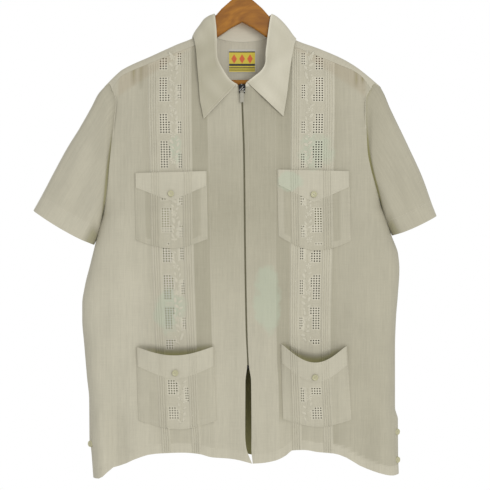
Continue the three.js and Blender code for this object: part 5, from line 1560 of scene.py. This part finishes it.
def pocket_columns(pocket):
    """(share, lift, lattice, on the band) of each column across a pocket: the front's band goes on in it."""
    inner, outer = band_edges(pocket)
    left, right = ((pocket["topX"][i] + pocket["lowX"][i]) / 2 for i in (0, 1))
    marks = [((mix(inner, outer, share) - left) / (right - left), lift, lattice)
             for share, lift, lattice in BAND_COLUMNS]
    marks.sort(key=lambda mark: mark[0])
    if pocket["side"] == "right":
        # Going from the outer to the inner edge, a hole lies before its first column instead of after it.
        after = [mark[2] for mark in marks[1:]] + [None]
        marks = [(mark[0], mark[1], lattice) for mark, lattice in zip(marks, after)]
    first, last = marks[0][0], marks[-1][0]
    before = [(s * first, 0.0, None, False) for s in BEFORE_BAND]
    beyond = [(mix(last, 1, s), 0.0, None, False) for s in BEYOND_BAND]
    return before + [(*mark, True) for mark in marks] + beyond


def pocket_tones(pocket, columns, from_bottom):
    """Paleness over a pocket: its turned edges and the band are paler than the strips between them."""
    wide = pocket_size(pocket)[0]
    across = np.array([column[0] for column in columns])
    tones = POCKET_TONES["lower" if pocket["dip"] else "upper"]
    tone = np.where([column[3] for column in columns], tones["band"], tones["strip"])
    outer, inner = (across, 1 - across) if pocket["side"] == "right" else (1 - across, across)
    at_side = (outer * wide < POCKET_TURN["outer"]) | (inner * wide < POCKET_TURN["inner"])
    tone = np.where(at_side, tones["turned"], tone)
    blur = POCKET_FADE["turn"]
    turned = ease((POCKET_TURN["foot"] + blur / 2 - from_bottom) / blur) * tones["turned"]
    return np.maximum(np.tile(tone, (len(from_bottom), 1)), turned)


def make_pocket(name, pocket):
    side, columns = SIDES[pocket["side"]], pocket_columns(pocket)
    across, tuck = (np.array([column[i] for column in columns]) for i in range(2))
    top, low = rim_of(pocket, across), bottom_of(pocket, across)
    near = np.flatnonzero((ROW_HEIGHTS < top.max() + HOLE_ROW) & (ROW_HEIGHTS > low.min() - HOLE_ROW))
    z = np.clip(ROW_HEIGHTS[near][:, None], low[None], top[None])
    from_edge = np.minimum(np.minimum(across, 1 - across) * pocket_size(pocket)[0], z - low)
    lift = mix(POCKET_SEWN_LIFT, POCKET_LIFT, ease(from_edge / POCKET_FADE["edge"]))
    grid = pocket_point(pocket, np.broadcast_to(across, z.shape), (top - z) / (top - low), lift)
    flat = np.abs(np.diff(z, axis=0)) < LEVEL
    blunt = np.concatenate([flat, flat[-1:]]) | np.concatenate([flat[:1], flat])
    way = facing(lambda u, v: front_y(side, u, v), grid[..., 0], grid[..., 2], -1)
    normals = to_front(np.where(blunt[..., None], way, grid_normals(grid)))
    grid = grid + normals * tuck[None, :, None]
    closed = (z >= top - band_drop(pocket, across) - HOLES_FROM["band"])[:-1, :-1]
    closed = closed | (z <= low + HOLES_FROM["foot"])[1:, :-1]
    keep, drawn = cells_of(z, [column[2] for column in columns[:-1]], near[0], closed)
    layers = mix(pocket_tones(pocket, columns, z - low), BAR_TONE, bar_share(drawn))
    grid, normals, keep, layers = (rows[:, ::-1] for rows in (grid, normals, keep, layers))
    return shell("pocket_" + name + "_cloth", grid, normals, CLOTH, keep=keep, layers=layers, upright=True)


def make_pocket_band(name, pocket):
    across = np.linspace(1 - BAND_INSET, BAND_INSET, BAND_GRID[1])
    share = np.linspace(0, 1, BAND_GRID[0])[:, None]
    down = share * band_drop(pocket, across) / pocket_size(pocket)[1]
    grid = pocket_point(pocket, np.broadcast_to(across, down.shape), down, POCKET_LIFT + POCKET_BAND_LIFT)
    return shell("pocket_band_" + name + "_cloth", grid, to_front(grid_normals(grid)), CLOTH,
                 layers=np.ones(down.shape), upright=True)


# Small raised work: each kind is one joined mesh


class Joined:
    """Gathers many small closed forms into one mesh."""

    def __init__(self):
        self.points = []
        self.faces = []
        self.count = 0

    def add(self, points, faces):
        """points holds one form after another, and faces are those of the first form."""
        points = np.asarray(points, float)
        forms, size = points.shape[:2]
        for form in range(forms):
            start = self.count + form * size
            self.faces += [[v + start for v in face] for face in faces]
        self.points.append(points.reshape(-1, 3))
        self.count += forms * size

    def make(self, name, material):
        return mesh_object(name, np.concatenate(self.points), self.faces, material)


def ring_faces(sides, rings, start=0):
    """Faces between rings of points that follow each other."""
    faces = []
    for r in range(rings - 1):
        for k in range(sides):
            a, b = start + r * sides + k, start + r * sides + (k + 1) % sides
            faces.append([a, b, b + sides, a + sides])
    return faces


def lens_faces(sides):
    """A low raised form: its foot, a ring half way up, its top and the middle of its back."""
    top, back = 2 * sides, 2 * sides + 1
    faces = ring_faces(sides, 2)
    faces += [[sides + k, sides + (k + 1) % sides, top] for k in range(sides)]
    faces += [[(k + 1) % sides, k, back] for k in range(sides)]
    return faces


LENS_SIDES = 12
LENS_FACES = lens_faces(LENS_SIDES)


def satin(parts, surface):
    """Raised satin stitches on a surface that gives Y over X and Z. Each part is x, z, turn, long, wide."""
    parts = np.array(parts, float)
    angle = 2 * np.pi * np.arange(LENS_SIDES) / LENS_SIDES
    along = np.cos(angle)
    aside = np.sin(angle) * np.abs(np.sin(angle)) ** SATIN_SHOULDER["blunt"]
    u = np.concatenate([along, SATIN_SHOULDER["long"] * along, [0, 0]])
    v = np.concatenate([aside, SATIN_SHOULDER["wide"] * aside, [0, 0]])
    rise = SATIN_SHOULDER["high"] * SATIN_HEIGHT
    out = np.concatenate([np.full(LENS_SIDES, -SATIN_SUNK["rim"]), np.full(LENS_SIDES, rise),
                          [SATIN_HEIGHT, -SATIN_SUNK["middle"]]])
    x, z, turn, long, wide = (parts[:, i:i + 1] for i in range(5))
    turn = np.radians(turn)
    du, dv = u[None] * long / 2, v[None] * wide / 2
    px = x + du * np.cos(turn) - dv * np.sin(turn)
    pz = z + du * np.sin(turn) + dv * np.cos(turn)
    return np.stack([px, surface(px, pz) - out[None], pz], axis=-1)


def vine_parts(x_at, top, low):
    """Every petal, leaf and bud of the vine between two heights."""
    parts = []
    chance = np.random.default_rng(int(abs(x_at(0.5, top))) + int(-top))
    way = 1 if x_at(1.0, top) > x_at(0.0, top) else -1

    def either_way(key):
        return chance.uniform(-VINE_CHANCE[key], VINE_CHANCE[key])

    first, last = math.floor(-top / VINE_PITCH), math.ceil(-low / VINE_PITCH)
    for turn in range(first, last):
        for row in VINE_PARTS:
            z = -turn * VINE_PITCH - row["down"] + either_way("down")
            x = x_at(vine_share(z), z) + way * (row["out"] + either_way("out"))
            angle = row["turn"] if way > 0 else 180 - row["turn"]
            size = chance.uniform(VINE_CHANCE["small"], VINE_CHANCE["large"])
            parts.append((x, z, angle + either_way("turn"), row["long"] * size, row["wide"] * size))
        z = -turn * VINE_PITCH - FLOWER["down"]
        x = x_at(vine_share(z), z) + way * FLOWER["out"]
        for petal in range(FLOWER["petals"]):
            angle = 90 + 360 * petal / FLOWER["petals"]
            px = x + FLOWER["reach"] * math.cos(math.radians(angle))
            pz = z + FLOWER["reach"] * math.sin(math.radians(angle))
            parts.append((px, pz, angle, FLOWER["long"], FLOWER["wide"]))
        parts.append((x, z, 0, FLOWER["heart"], FLOWER["heart"]))
    return [part for part in parts if low + part[3] / 2 < part[1] < top - part[3] / 2]


def bar_parts(x_at, top, low):
    """Satin bars across the plain breaks of the wide lattice."""
    parts = []
    lattice = LATTICES["wide"]
    drawn = OPEN_UNDER["wide"].any(axis=1)
    start = None
    for z, is_open in zip(ROW_HEIGHTS[::2], drawn[::2]):
        if is_open:
            if start is not None and start - z > SATIN_BAR["least_rows"] * HOLE_ROW:
                count = int((start - z - HOLE_ROW) / SATIN_BAR["every"])
                for i in range(count):
                    at = start - HOLE_ROW - i * SATIN_BAR["every"]
                    ends = [x_at(lattice[end], at) for end in ("start", "end")]
                    long = abs(ends[1] - ends[0]) * SATIN_BAR["long"]
                    parts.append((sum(ends) / 2, at, 0, long, SATIN_BAR["wide"]))
            start = None
        elif start is None:
            start = z
    return [part for part in parts if low + 1 < part[1] < top - 1]


# A way that no line of thread or roll of cloth starts along
TUBE_START = (0.3, 0.5, 0.81)


def tube(points, radius, sides=6, closed=False):
    """Points and faces of a thin roll of cloth or thread along a line."""
    points = np.asarray(points, float)
    if closed:
        tangent = np.roll(points, -1, axis=0) - np.roll(points, 1, axis=0)
    else:
        tangent = np.gradient(points, axis=0)
    tangent /= np.linalg.norm(tangent, axis=1, keepdims=True)
    normal = np.cross(tangent[0], TUBE_START)
    rings = []
    angle = 2 * np.pi * np.arange(sides) / sides
    for p, t in zip(points, tangent):
        normal = normal - t * (normal @ t)
        normal /= np.linalg.norm(normal)
        beside = np.cross(t, normal)
        rings.append(p + radius * (np.cos(angle)[:, None] * normal + np.sin(angle)[:, None] * beside))
    count = len(points)
    faces = ring_faces(sides, count)
    if closed:
        last = (count - 1) * sides
        faces += [[last + k, last + (k + 1) % sides, (k + 1) % sides, k] for k in range(sides)]
    else:
        faces += [list(range(sides))[::-1], [(count - 1) * sides + k for k in range(sides)]]
    return np.concatenate(rings)[None], faces


def resampled(points, normals, pitch, closed=False):
    """Places along a line, one pitch apart: the point, the way along and the way out."""
    points, normals = np.asarray(points, float), np.asarray(normals, float)
    if closed:
        points = np.concatenate([points, points[:1]])
        normals = np.concatenate([normals, normals[:1]])
    reach = np.concatenate([[0], np.cumsum(np.linalg.norm(np.diff(points, axis=0), axis=1))])
    at = np.arange(pitch / 2, reach[-1], pitch)

    def value(rows, where):
        return np.stack([np.interp(where, reach, rows[:, i]) for i in range(3)], axis=1)

    step = 0.4
    along = value(points, at + step) - value(points, at - step)
    along /= np.maximum(np.linalg.norm(along, axis=1, keepdims=True), TINY)
    out = value(normals, at)
    return value(points, at), along, out / np.linalg.norm(out, axis=1, keepdims=True)


STITCH_SIDES = 6
STITCH_FACES = [[k, (k + 1) % STITCH_SIDES, STITCH_SIDES] for k in range(STITCH_SIDES)]
STITCH_FACES += [[(k + 1) % STITCH_SIDES, k, STITCH_SIDES + 1] for k in range(STITCH_SIDES)]


def sew(joined, points, normals, closed=False):
    """A line of stitches, each a slim raised grain of thread."""
    place, along, out = resampled(points, normals, STITCH["pitch"], closed)
    if not len(place):
        return
    beside = np.cross(out, along)
    angle = 2 * np.pi * np.arange(STITCH_SIDES) / STITCH_SIDES
    forms = (place[:, None] + along[:, None] * (np.cos(angle) * STITCH["long"] / 2)[None, :, None]
             + beside[:, None] * (np.sin(angle) * STITCH["wide"] / 2)[None, :, None])
    top = (place + out * STITCH["high"])[:, None]
    foot = (place - out * STITCH["sunk"])[:, None]
    joined.add(np.concatenate([forms, top, foot], axis=1), STITCH_FACES)


def inset(grid, normals, distance, from_last=False):
    """The line that runs this far inside the first row of a grid, or the last one."""
    if from_last:
        grid, normals = grid[::-1], normals[::-1]
    reach = spans(grid, 0)
    points, ways = [], []
    for c in range(grid.shape[1]):
        points.append([np.interp(distance, reach[:, c], grid[:, c, i]) for i in range(3)])
        ways.append([np.interp(distance, reach[:, c], normals[:, c, i]) for i in range(3)])
    return np.array(points), np.array(ways)


# Trim: embroidery, sewing, facings, zip, buttons and label


def on_front(side, x, z, behind=0.0):
    """Points on the front over lines of x and z, or this far behind it, and the way the cloth looks there."""
    x, z = np.broadcast_arrays(np.asarray(x, float), np.asarray(z, float))
    points = np.stack([x, front_y(side, x, z) + behind, z], axis=-1)
    return points, facing(lambda u, v: front_y(side, u, v), x, z, -1)


def open_stretches(side):
    """(top, low) of each stretch of the band above and between the pockets."""
    stretches, top = [], VINE_TOP_Z
    for pocket in sorted(pockets_on(side), key=lambda row: -max(row["topZ"])):
        stretches.append((top, max(pocket["topZ"]) + 2))
        top = min(pocket["lowZ"]) - pocket["point"] - 2
    return stretches


def embroider(joined, x_at, surface, top, low):
    """The vine with its stem, and the bars of the wide lattice, between two heights of a band."""
    joined.add(satin(vine_parts(x_at, top, low), surface), LENS_FACES)
    bars = bar_parts(x_at, top, low)
    if bars:
        joined.add(satin(bars, surface), LENS_FACES)
    z = np.linspace(top - 1, low + 1, int((top - low) / VINE_STEM["step"]))
    x = x_at(vine_share(z), z)
    joined.add(*tube(np.stack([x, surface(x, z) - VINE_STEM["out"], z], axis=1), VINE_STEM["radius"]))


def embroider_front(side):
    def x_at(share, z):
        return mix(side.inner_x(z), side.outer_x(z), share)

    joined = Joined()
    for top, low in open_stretches(side):
        embroider(joined, x_at, lambda x, z: front_y(side, x, z), top, low)
    return joined.make("embroidery_" + side.name, SILK)


def embroider_pocket(name, pocket):
    inner, outer = band_edges(pocket)

    def x_at(share, _):
        return mix(inner, outer, share)

    def surface(x, z):
        across = (x - pocket["topX"][0]) / pocket_size(pocket)[0]
        for _ in range(3):
            rim = rim_of(pocket, across)
            down = (rim - z) / (rim - bottom_of(pocket, across))
            left, right = (mix(pocket["topX"][i], pocket["lowX"][i], down) for i in (0, 1))
            across = clamp01((x - left) / (right - left))
        return pocket_point(pocket, across, down, POCKET_LIFT)[..., 1]

    middle = (x_at(VINE_MIDDLE, None) - pocket["topX"][0]) / pocket_size(pocket)[0]
    top = float(rim_of(pocket, middle)) - pocket["bandPoint"] - 1
    low = float(bottom_of(pocket, middle)) + POCKET_TURN["foot"] - 2
    joined = Joined()
    embroider(joined, x_at, surface, top, low)
    return joined.make("embroidery_pocket_" + name, SILK)


# Seams down a front: their ends, their number of points, and how far outwards of their line they lie
FRONT_SEAMS = table("line top low points out", ("zip", -236, -878, 220, 6.5), ("facing", -262, -862, 200, -2),
                    ("vent", VENT_TOP_Z + 6, -898, 40, -6))
HEM_ENDS = {"zip": -880.0, "side": -895.0, "zip_in": 2, "side_in": 4, "points": 120}


def facing_x(side, z, share):
    """Where a share of the way from the zip to the band is."""
    return mix(side.zip_x(z), side.inner_x(z), share)


def sew_front(side):
    joined = Joined()
    start = side.zip_x(HEM_ENDS["zip"]) + side.sign * HEM_ENDS["zip_in"]
    end = side.edge_x(HEM_ENDS["side"], "front") - side.sign * HEM_ENDS["side_in"]
    x = np.linspace(float(start), float(end), HEM_ENDS["points"])
    sew(joined, *on_front(side, x, side.hem_z(x) + HEM_BAND - HEM_STITCH))
    lines = {"zip": side.zip_x, "facing": lambda z: facing_x(side, z, FACING_SHARES[1]),
             "vent": lambda z: side.edge_x(z, "front")}
    for row in FRONT_SEAMS:
        z = np.linspace(row["top"], row["low"], row["points"])
        sew(joined, *on_front(side, lines[row["line"]](z) + side.sign * row["out"], z))
    return joined.make("stitching_front_" + side.name, THREAD)


def sew_pocket(name, pocket):
    wide, height = pocket_size(pocket)
    inside, above = POCKET_STITCH / wide, POCKET_STITCH / height
    heights = np.linspace(ROUTE["from_rim"], 1 - above, ROUTE["down"])
    down = [(inside, d) for d in heights]
    along_foot = [(a, 1 - above) for a in np.linspace(inside, 1 - inside, ROUTE["across"])[1:-1]]
    up = [(1 - inside, d) for d in heights[::-1]]
    route = np.array(down + along_foot + up)
    across = np.linspace(ROUTE["from_side"], 1 - ROUTE["from_side"], ROUTE["band"])
    lines = [pocket_point(pocket, route[:, 0], route[:, 1], POCKET_SEWN_LIFT + THREAD_OVER)]
    for rise in BAND_STITCHES:
        share = (band_drop(pocket, across) - rise) / height
        lines.append(pocket_point(pocket, across, share, POCKET_LIFT + POCKET_BAND_LIFT))
    joined = Joined()
    for points in lines:
        sew(joined, points, np.tile((0.0, -1.0, 0.0), (len(points), 1)))
    return joined.make("stitching_pocket_" + name, THREAD)


def make_facing(side):
    rows, columns = FACING_GRID
    shares = np.linspace(FACING_SHARES[0] + SHARE_SLACK, FACING_SHARES[1], columns)
    tops = side.top_z(facing_x(side, ZIP_TOP_Z, shares)) - FACING_ENDS["top"]
    lows = side.hem_z(facing_x(side, LOW_GUESS, shares)) + FACING_ENDS["foot"]
    z = mix(tops, lows, np.linspace(0, 1, rows)[:, None])
    grid, normals = on_front(side, facing_x(side, z, shares), z, BEHIND_FRONT + FACING_GAP)
    grid, normals = grid[:, ::-side.sign], normals[:, ::-side.sign]
    return shell("facing_" + side.name + "_cloth", grid, normals, CLOTH,
                 layers=np.full(z.shape, FACING_PIECE_TONE), upright=True)


def zip_middle(z):
    return (SIDES["right"].zip_x(z) + SIDES["left"].zip_x(z)) / 2


def make_zip_tape(side):
    z = np.linspace(ZIP_TOP_Z, ZIP_END_Z, TAPE_ROWS)[:, None]
    edges = np.array(TAPE_EDGES)[None, :]
    under = side.zip_x(z) + side.sign * np.maximum(0, edges - ZIP_HALF_GAP)
    y = front_y(side, under, np.broadcast_to(z, under.shape)) + BEHIND_FRONT + TAPE_GAP
    grid = np.stack(np.broadcast_arrays(zip_middle(z) + side.sign * edges, y, z), axis=-1)[:, ::-side.sign]
    return shell("zip_tape_" + side.name + "_cloth", grid, to_front(grid_normals(grid)), TAPE)


def make_teeth():
    """Teeth in two rows that mesh down the middle of the zip."""
    joined = Joined()
    half = np.array([(x, y, z) for z in (-1, 1) for x, y in ((-1, -1), (1, -1), (1, 1), (-1, 1))], float)
    faces = [[0, 1, 5, 4], [1, 2, 6, 5], [2, 3, 7, 6], [3, 0, 4, 7], [3, 2, 1, 0], [4, 5, 6, 7]]
    z = np.arange(SLIDER_FOOT_Z - 1, ZIP_END_Z + 1, -TOOTH_PITCH / 2)
    turn = np.where(np.arange(len(z)) % 2, 1, -1)
    y = front_y(SIDES["right"], SIDES["right"].zip_x(z), z) + BEHIND_FRONT + TEETH_GAP
    middle = np.stack([zip_middle(z) + turn * TOOTH_ASIDE, y, z], axis=1)
    joined.add(middle[:, None] + half[None] * np.array(TOOTH_HALF), faces)
    return joined.make("zip_teeth", TEETH)


# Profile of a button: how far from its middle, and how far out
BUTTON_PROFILE = ((0, 1.45), (0.55, 1.45), (1.3, 1.45), (2.2, 1.45), (3.3, 1.5), (3.9, 1.95), (4.5, 2.2),
                  (5.0, 2.15), (5.35, 1.9), (5.5, 1.5), (5.5, 0.6), (5.15, 0.12))
BUTTON_SPOKES = 24
BUTTON_HOLES = (2, 3, 8, 9, 14, 15, 20, 21)
BUTTON_THREAD = ((-1.1, -1.35, -1.0), (-0.5, -1.75, -0.4), (0.5, -1.8, 0.4), (1.1, -1.35, 1.0))
BUTTON_THREAD_RADIUS = 0.22


def make_button(node):
    """A four-hole button with a rounded rim, its back on the cloth, placed where its solid is."""
    low, high = (np.array(corner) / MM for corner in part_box(node))
    middle = (low + high) / 2
    angle = 2 * np.pi * np.arange(BUTTON_SPOKES) / BUTTON_SPOKES
    reach, out = (np.array(column, float)[:, None] for column in zip(*BUTTON_PROFILE))
    grid = np.stack(np.broadcast_arrays(reach * np.cos(angle), -out, reach * np.sin(angle)), axis=-1)[:, ::-1]
    normals = np.broadcast_to((0.0, -1.0, 0.0), grid.shape)
    keep = np.ones((len(BUTTON_PROFILE) - 1, BUTTON_SPOKES), bool)
    keep[1, list(BUTTON_HOLES)] = False

    def flat_back(points):
        points[:, 1] = 0.0
        return points

    horn = shell(node + "_horn", grid, normals, BUTTON, ring=True, keep=keep[:, ::-1], inside=flat_back)
    joined = Joined()
    for way in (-1, 1):
        joined.add(*tube(np.array(BUTTON_THREAD) * (way, 1, 1), BUTTON_THREAD_RADIUS))
    cross = joined.make(node + "_thread", THREAD)
    tilt, turn = button_turn(node, middle, high - low)
    pose = Matrix.Rotation(turn, 4, "Z") @ Matrix.Rotation(tilt, 4, "X")
    shift = pose @ Vector((0, BUTTON_THICK / 2 * MM, 0))
    pose = Matrix.Translation(Vector(middle * MM) + shift) @ pose
    for piece in (horn, cross):
        piece.data.transform(pose)
    return horn, cross


def button_turn(node, middle, size):
    """How a button tilts on a pocket, or turns round the side at a vent, from the box of its solid."""
    thick = min(1.0, max(0.0, (size[1] - BUTTON_THICK) / (2 * BUTTON_RADIUS)))
    if "vent" in node:
        return 0.0, math.asin(thick) * (-1 if middle[0] < 0 else 1)
    pocket = POCKETS[node.replace("button_", "")]
    down = (pocket["bandPoint"] - BUTTON_FROM_POINT) / pocket_size(pocket)[1]
    seat, above = (pocket_point(pocket, 0.5, share, POCKET_LIFT) for share in (down, down - TILT_STEP))
    return math.atan2(seat[1] - above[1], above[2] - seat[2]), 0.0


# The label's plain design, in shares of its size: how far its margin goes in, and its dark bars
LABEL_MARGIN = {"side": 0.025, "top": 0.1, "foot": 0.03}
LABEL_BARS = ((0.1, 0.15), (0.63, 0.72), (0.78, 0.82), (0.88, 0.91))
LOZENGES = {"shift": 0.08, "half_pitch": 0.145, "down": 0.42, "slant": 1.9, "half": 0.2}


def label_material():
    """A woven label of a plain design: yellow ground, orange lozenges, dark bars and a pale margin."""
    s = Shader("woven_label")
    place = s.place()
    x, _, z = s.node("ShaderNodeSeparateXYZ", {0: place}).node.outputs
    across = s.span(x, LABEL["x0"] * MM, LABEL["x1"] * MM)
    down = s.span(z, LABEL["z0"] * MM, LABEL["z1"] * MM)

    def outside(value, low, high):
        return s.math("MAXIMUM", s.math("LESS_THAN", value, low), s.math("GREATER_THAN", value, high))

    beat = s.math("PINGPONG", s.math("ADD", across, LOZENGES["shift"]), LOZENGES["half_pitch"])
    tall = s.math("ABSOLUTE", s.math("SUBTRACT", down, LOZENGES["down"]))
    slanted = s.math("ADD", s.math("MULTIPLY", beat, LOZENGES["slant"]), tall)
    base = s.blend(colour("d9c53a"), colour("d9622c"), s.math("LESS_THAN", slanted, LOZENGES["half"]))
    for low, high in LABEL_BARS:
        base = s.blend(colour("23221f"), base, outside(down, low, high))
    margin = s.math("MAXIMUM", outside(across, LABEL_MARGIN["side"], 1 - LABEL_MARGIN["side"]),
                    outside(down, LABEL_MARGIN["top"], 1 - LABEL_MARGIN["foot"]))
    base = s.blend(base, colour("c9c6b8"), margin)
    threads = s.noise(s.stretched(place, (1.0, 1.0, 3.0)), 1500.0, 2.0, 0.6)
    base = s.tinted(base, s.math("ADD", 1.0, s.span(threads, 0.3, 0.7, -0.09, 0.09)))
    return s.finish(Base_Color=base, Normal=s.bump(0.3, 0.0002, threads), Roughness=0.55, Sheen_Weight=0.2,
                    Sheen_Roughness=0.4)


def make_label():
    rows, columns = LABEL_GRID
    across = np.linspace(LABEL["x1"], LABEL["x0"], columns)[None, :]
    z = np.linspace(LABEL["z0"], LABEL["z1"], rows)[:, None]
    share = clamp01((back_neck_z(across) - z) / (back_neck_z(across) - YOKE_BACK_Z))
    foot = back_y(across, np.full_like(across, YOKE_BACK_Z))
    y = mix(back_neck_y(across), foot, share**BACK_POWER) - LABEL["before"] - SEAM_GAP
    grid = np.stack(np.broadcast_arrays(across, y, z), axis=-1)[:, ::-1]
    return shell("label_cloth", grid, to_front(grid_normals(grid)), label_material(), wall=LABEL["wall"])


# Build


def cut(piece, wide, long, held="hung", rests_on=("hanger_wood",), with_pieces=()):
    """Works out the flat size and area of a piece of cloth from what it was cut to, in millimetres,
    and keeps none of it. held is not used.
    """
    flat = (wide * MM, long * MM)
    whole = flat[0] * flat[1]
    area = min(max(piece["cut_area"], LEAST_OF_CUT * whole), whole)
    list(rests_on)
    list(with_pieces)


def build_side(side):
    front = dress(make_front(side), "cloth", "front_" + side.name)
    flowers = dress(embroider_front(side), "cloth")
    seams = dress(sew_front(side), "cloth")
    cut(front, *CUT["front"], with_pieces=[flowers, seams])
    lining = dress(make_facing(side), "cloth", "facing_" + side.name)
    cut(lining, *CUT["facing"], rests_on=[front])
    tape = dress(make_zip_tape(side), "zip_tape", "zip_tape_" + side.name)
    cut(tape, *CUT["tape"], rests_on=[front])
    sleeve, grid, normals = make_sleeve(side)
    dress(sleeve, "cloth", "sleeve_" + side.name)
    joined = Joined()
    sew(joined, *inset(grid, normals, CUFF[side.name]["hem"] - HEM_STITCH, from_last=True), closed=True)
    sew(joined, *inset(grid, normals, SLEEVE_STITCH), closed=True)
    joined.add(*tube(inset(grid, normals, SLEEVE_ROLL)[0], SEAM_ROLL, closed=True))
    seams = dress(joined.make("stitching_sleeve_" + side.name, THREAD), "cloth")
    cut(sleeve, *CUT["sleeve"], with_pieces=[seams])


def build_collar():
    stand_grid, leaf_grid = collar_grids()
    # The stand carries a painted light
    stand = shell("collar_stand_cloth", stand_grid, grid_normals(stand_grid), COLLAR_CLOTH, wall=STAND_WALL,
                  layers=np.full(stand_grid.shape[:2], STAND_PAINTED_LIGHT))
    dress(stand, "cloth", "collar_stand")
    cut(stand, *CUT["stand"])
    normals = grid_normals(leaf_grid)
    leaf = shell("collar_leaf_cloth", leaf_grid, normals, COLLAR_CLOTH, wall=LEAF_WALL,
                 layers=collar_shaded_tone(leaf_grid))
    dress(leaf, "cloth", "collar_leaf")
    joined = Joined()
    for order in ((0, 1, 2), (1, 0, 2)):
        for from_last in (False, True):
            turned = leaf_grid.transpose(order), normals.transpose(order)
            points, out = inset(*turned, COLLAR_STITCH, from_last)
            sew(joined, points[2:-2], out[2:-2])
    for from_last in (False, True):
        joined.add(*tube(inset(leaf_grid, normals, COLLAR_ROLL, from_last)[0], SEAM_ROLL))
    seams = dress(joined.make("stitching_collar", THREAD), "cloth")
    cut(leaf, *CUT["leaf"], with_pieces=[seams])


def build_pocket(name, pocket):
    front = "front_" + pocket["side"] + "_cloth"
    patch = dress(make_pocket(name, pocket), "cloth", "pocket_" + name)
    flowers = dress(embroider_pocket(name, pocket), "cloth")
    seams = dress(sew_pocket(name, pocket), "cloth")
    cut(patch, *CUT["pocket"], rests_on=[front], with_pieces=[flowers, seams])
    top = dress(make_pocket_band(name, pocket), "cloth", "pocket_band_" + name)
    cut(top, *CUT["pocket_band"], rests_on=[patch])


for side in SIDES.values():
    build_side(side)
dress(make_teeth(), "zip_tape")
back = dress(make_back(), "cloth", "back")
yoke = dress(make_yoke(), "cloth", "yoke")
cut(back, *CUT["back"])
cut(yoke, *CUT["yoke"])
build_collar()
for name, pocket in POCKETS.items():
    build_pocket(name, pocket)
label = dress(make_label(), "label", "label")
cut(label, *CUT["label"], rests_on=[yoke])
for node in sorted(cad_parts):
    if node.startswith("button"):
        horn, cross = make_button(node)
        dress(horn, "button", node)
        dress(cross, "cloth")

FINISHES = {"hanger_wood": WOOD, "hanger_bar": WOOD, "hanger_hook": BRIGHT, "zip_slider": ENAMEL_GLINTS,
            "zip_box": BLACK, "zip_pull": WORN}
ROUNDED = {"hanger_wood": 0.9, "hanger_bar": 0.5, "zip_slider": 0.4, "zip_box": 0.3, "zip_pull": 0.25}
for name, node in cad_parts.items():
    if node.hide_render:
        continue
    node.data.materials.clear()
    node.data.materials.append(FINISHES[name])
    if name in ROUNDED:
        bevel = node.modifiers.new("rounded", "BEVEL")
        bevel.width = ROUNDED[name] * MM
        bevel.segments = 3
        bevel.limit_method = "ANGLE"
        bevel.angle_limit = math.radians(30)
        bevel.harden_normals = True

# Studio


def make_floor():
    radius, z, facets = 1500, -1350, 96
    angles = np.linspace(0, 2 * np.pi, facets, endpoint=False)
    points = np.stack([radius * np.cos(angles), radius * np.sin(angles), np.full(facets, z)], axis=1)
    pale = plain_material("pale_floor", "e8e8e6", 0.7, speckle=0.01, scale=6.0, bump=0.0)
    floor = mesh_object("floor", points, [list(range(facets))], pale)
    floor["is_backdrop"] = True


def add_area(name, place, size, power):
    light = bpy.data.lights.new(name, "AREA")
    light.shape = "DISK"
    light.size = size
    light.energy = power
    holder = bpy.data.objects.new(name, light)
    holder.location = place
    target = Vector([v * MM for v in VIEW_MIDDLE])
    holder.rotation_euler = (target - Vector(place)).to_track_quat("-Z", "Y").to_euler()
    bpy.context.scene.collection.objects.link(holder)


def make_world(fill):
    world = bpy.data.worlds.new("studio")
    world.use_nodes = True
    tree = world.node_tree
    background = tree.nodes["Background"]
    seen = tree.nodes.new("ShaderNodeLightPath")
    strength = tree.nodes.new("ShaderNodeMapRange")
    strength.inputs["To Min"].default_value = fill
    strength.inputs["To Max"].default_value = 1.0
    tree.links.new(seen.outputs["Is Camera Ray"], strength.inputs["Value"])
    tree.links.new(strength.outputs["Result"], background.inputs["Strength"])
    background.inputs["Color"].default_value = (1, 1, 1, 1)
    bpy.context.scene.world = world


make_floor()
make_world(0.7)
add_area("key", (1.0, -2.9, -0.1), 1.5, 34)
add_area("behind", (-1.2, 2.6, 0.6), 1.6, 30)
bpy.context.scene.view_settings.view_transform = "Standard"

camera = bpy.data.cameras.new("camera")
camera.sensor_width = SENSOR_WIDTH
camera.lens = SENSOR_WIDTH * VIEW_DISTANCE / VIEW_WIDTH
eye = bpy.data.objects.new("camera", camera)
eye.location = Vector(VIEW_MIDDLE) * MM + Vector((0, -VIEW_DISTANCE * MM, 0))
eye.rotation_euler = (math.pi / 2, 0, 0)
bpy.context.scene.collection.objects.link(eye)
bpy.context.scene.camera = eye

bpy.context.view_layer.update()
boxes = {"cad": CAD_BOX, "visual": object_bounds()}
{key: [[float(v) for v in corner] for corner in box] for key, box in boxes.items()}
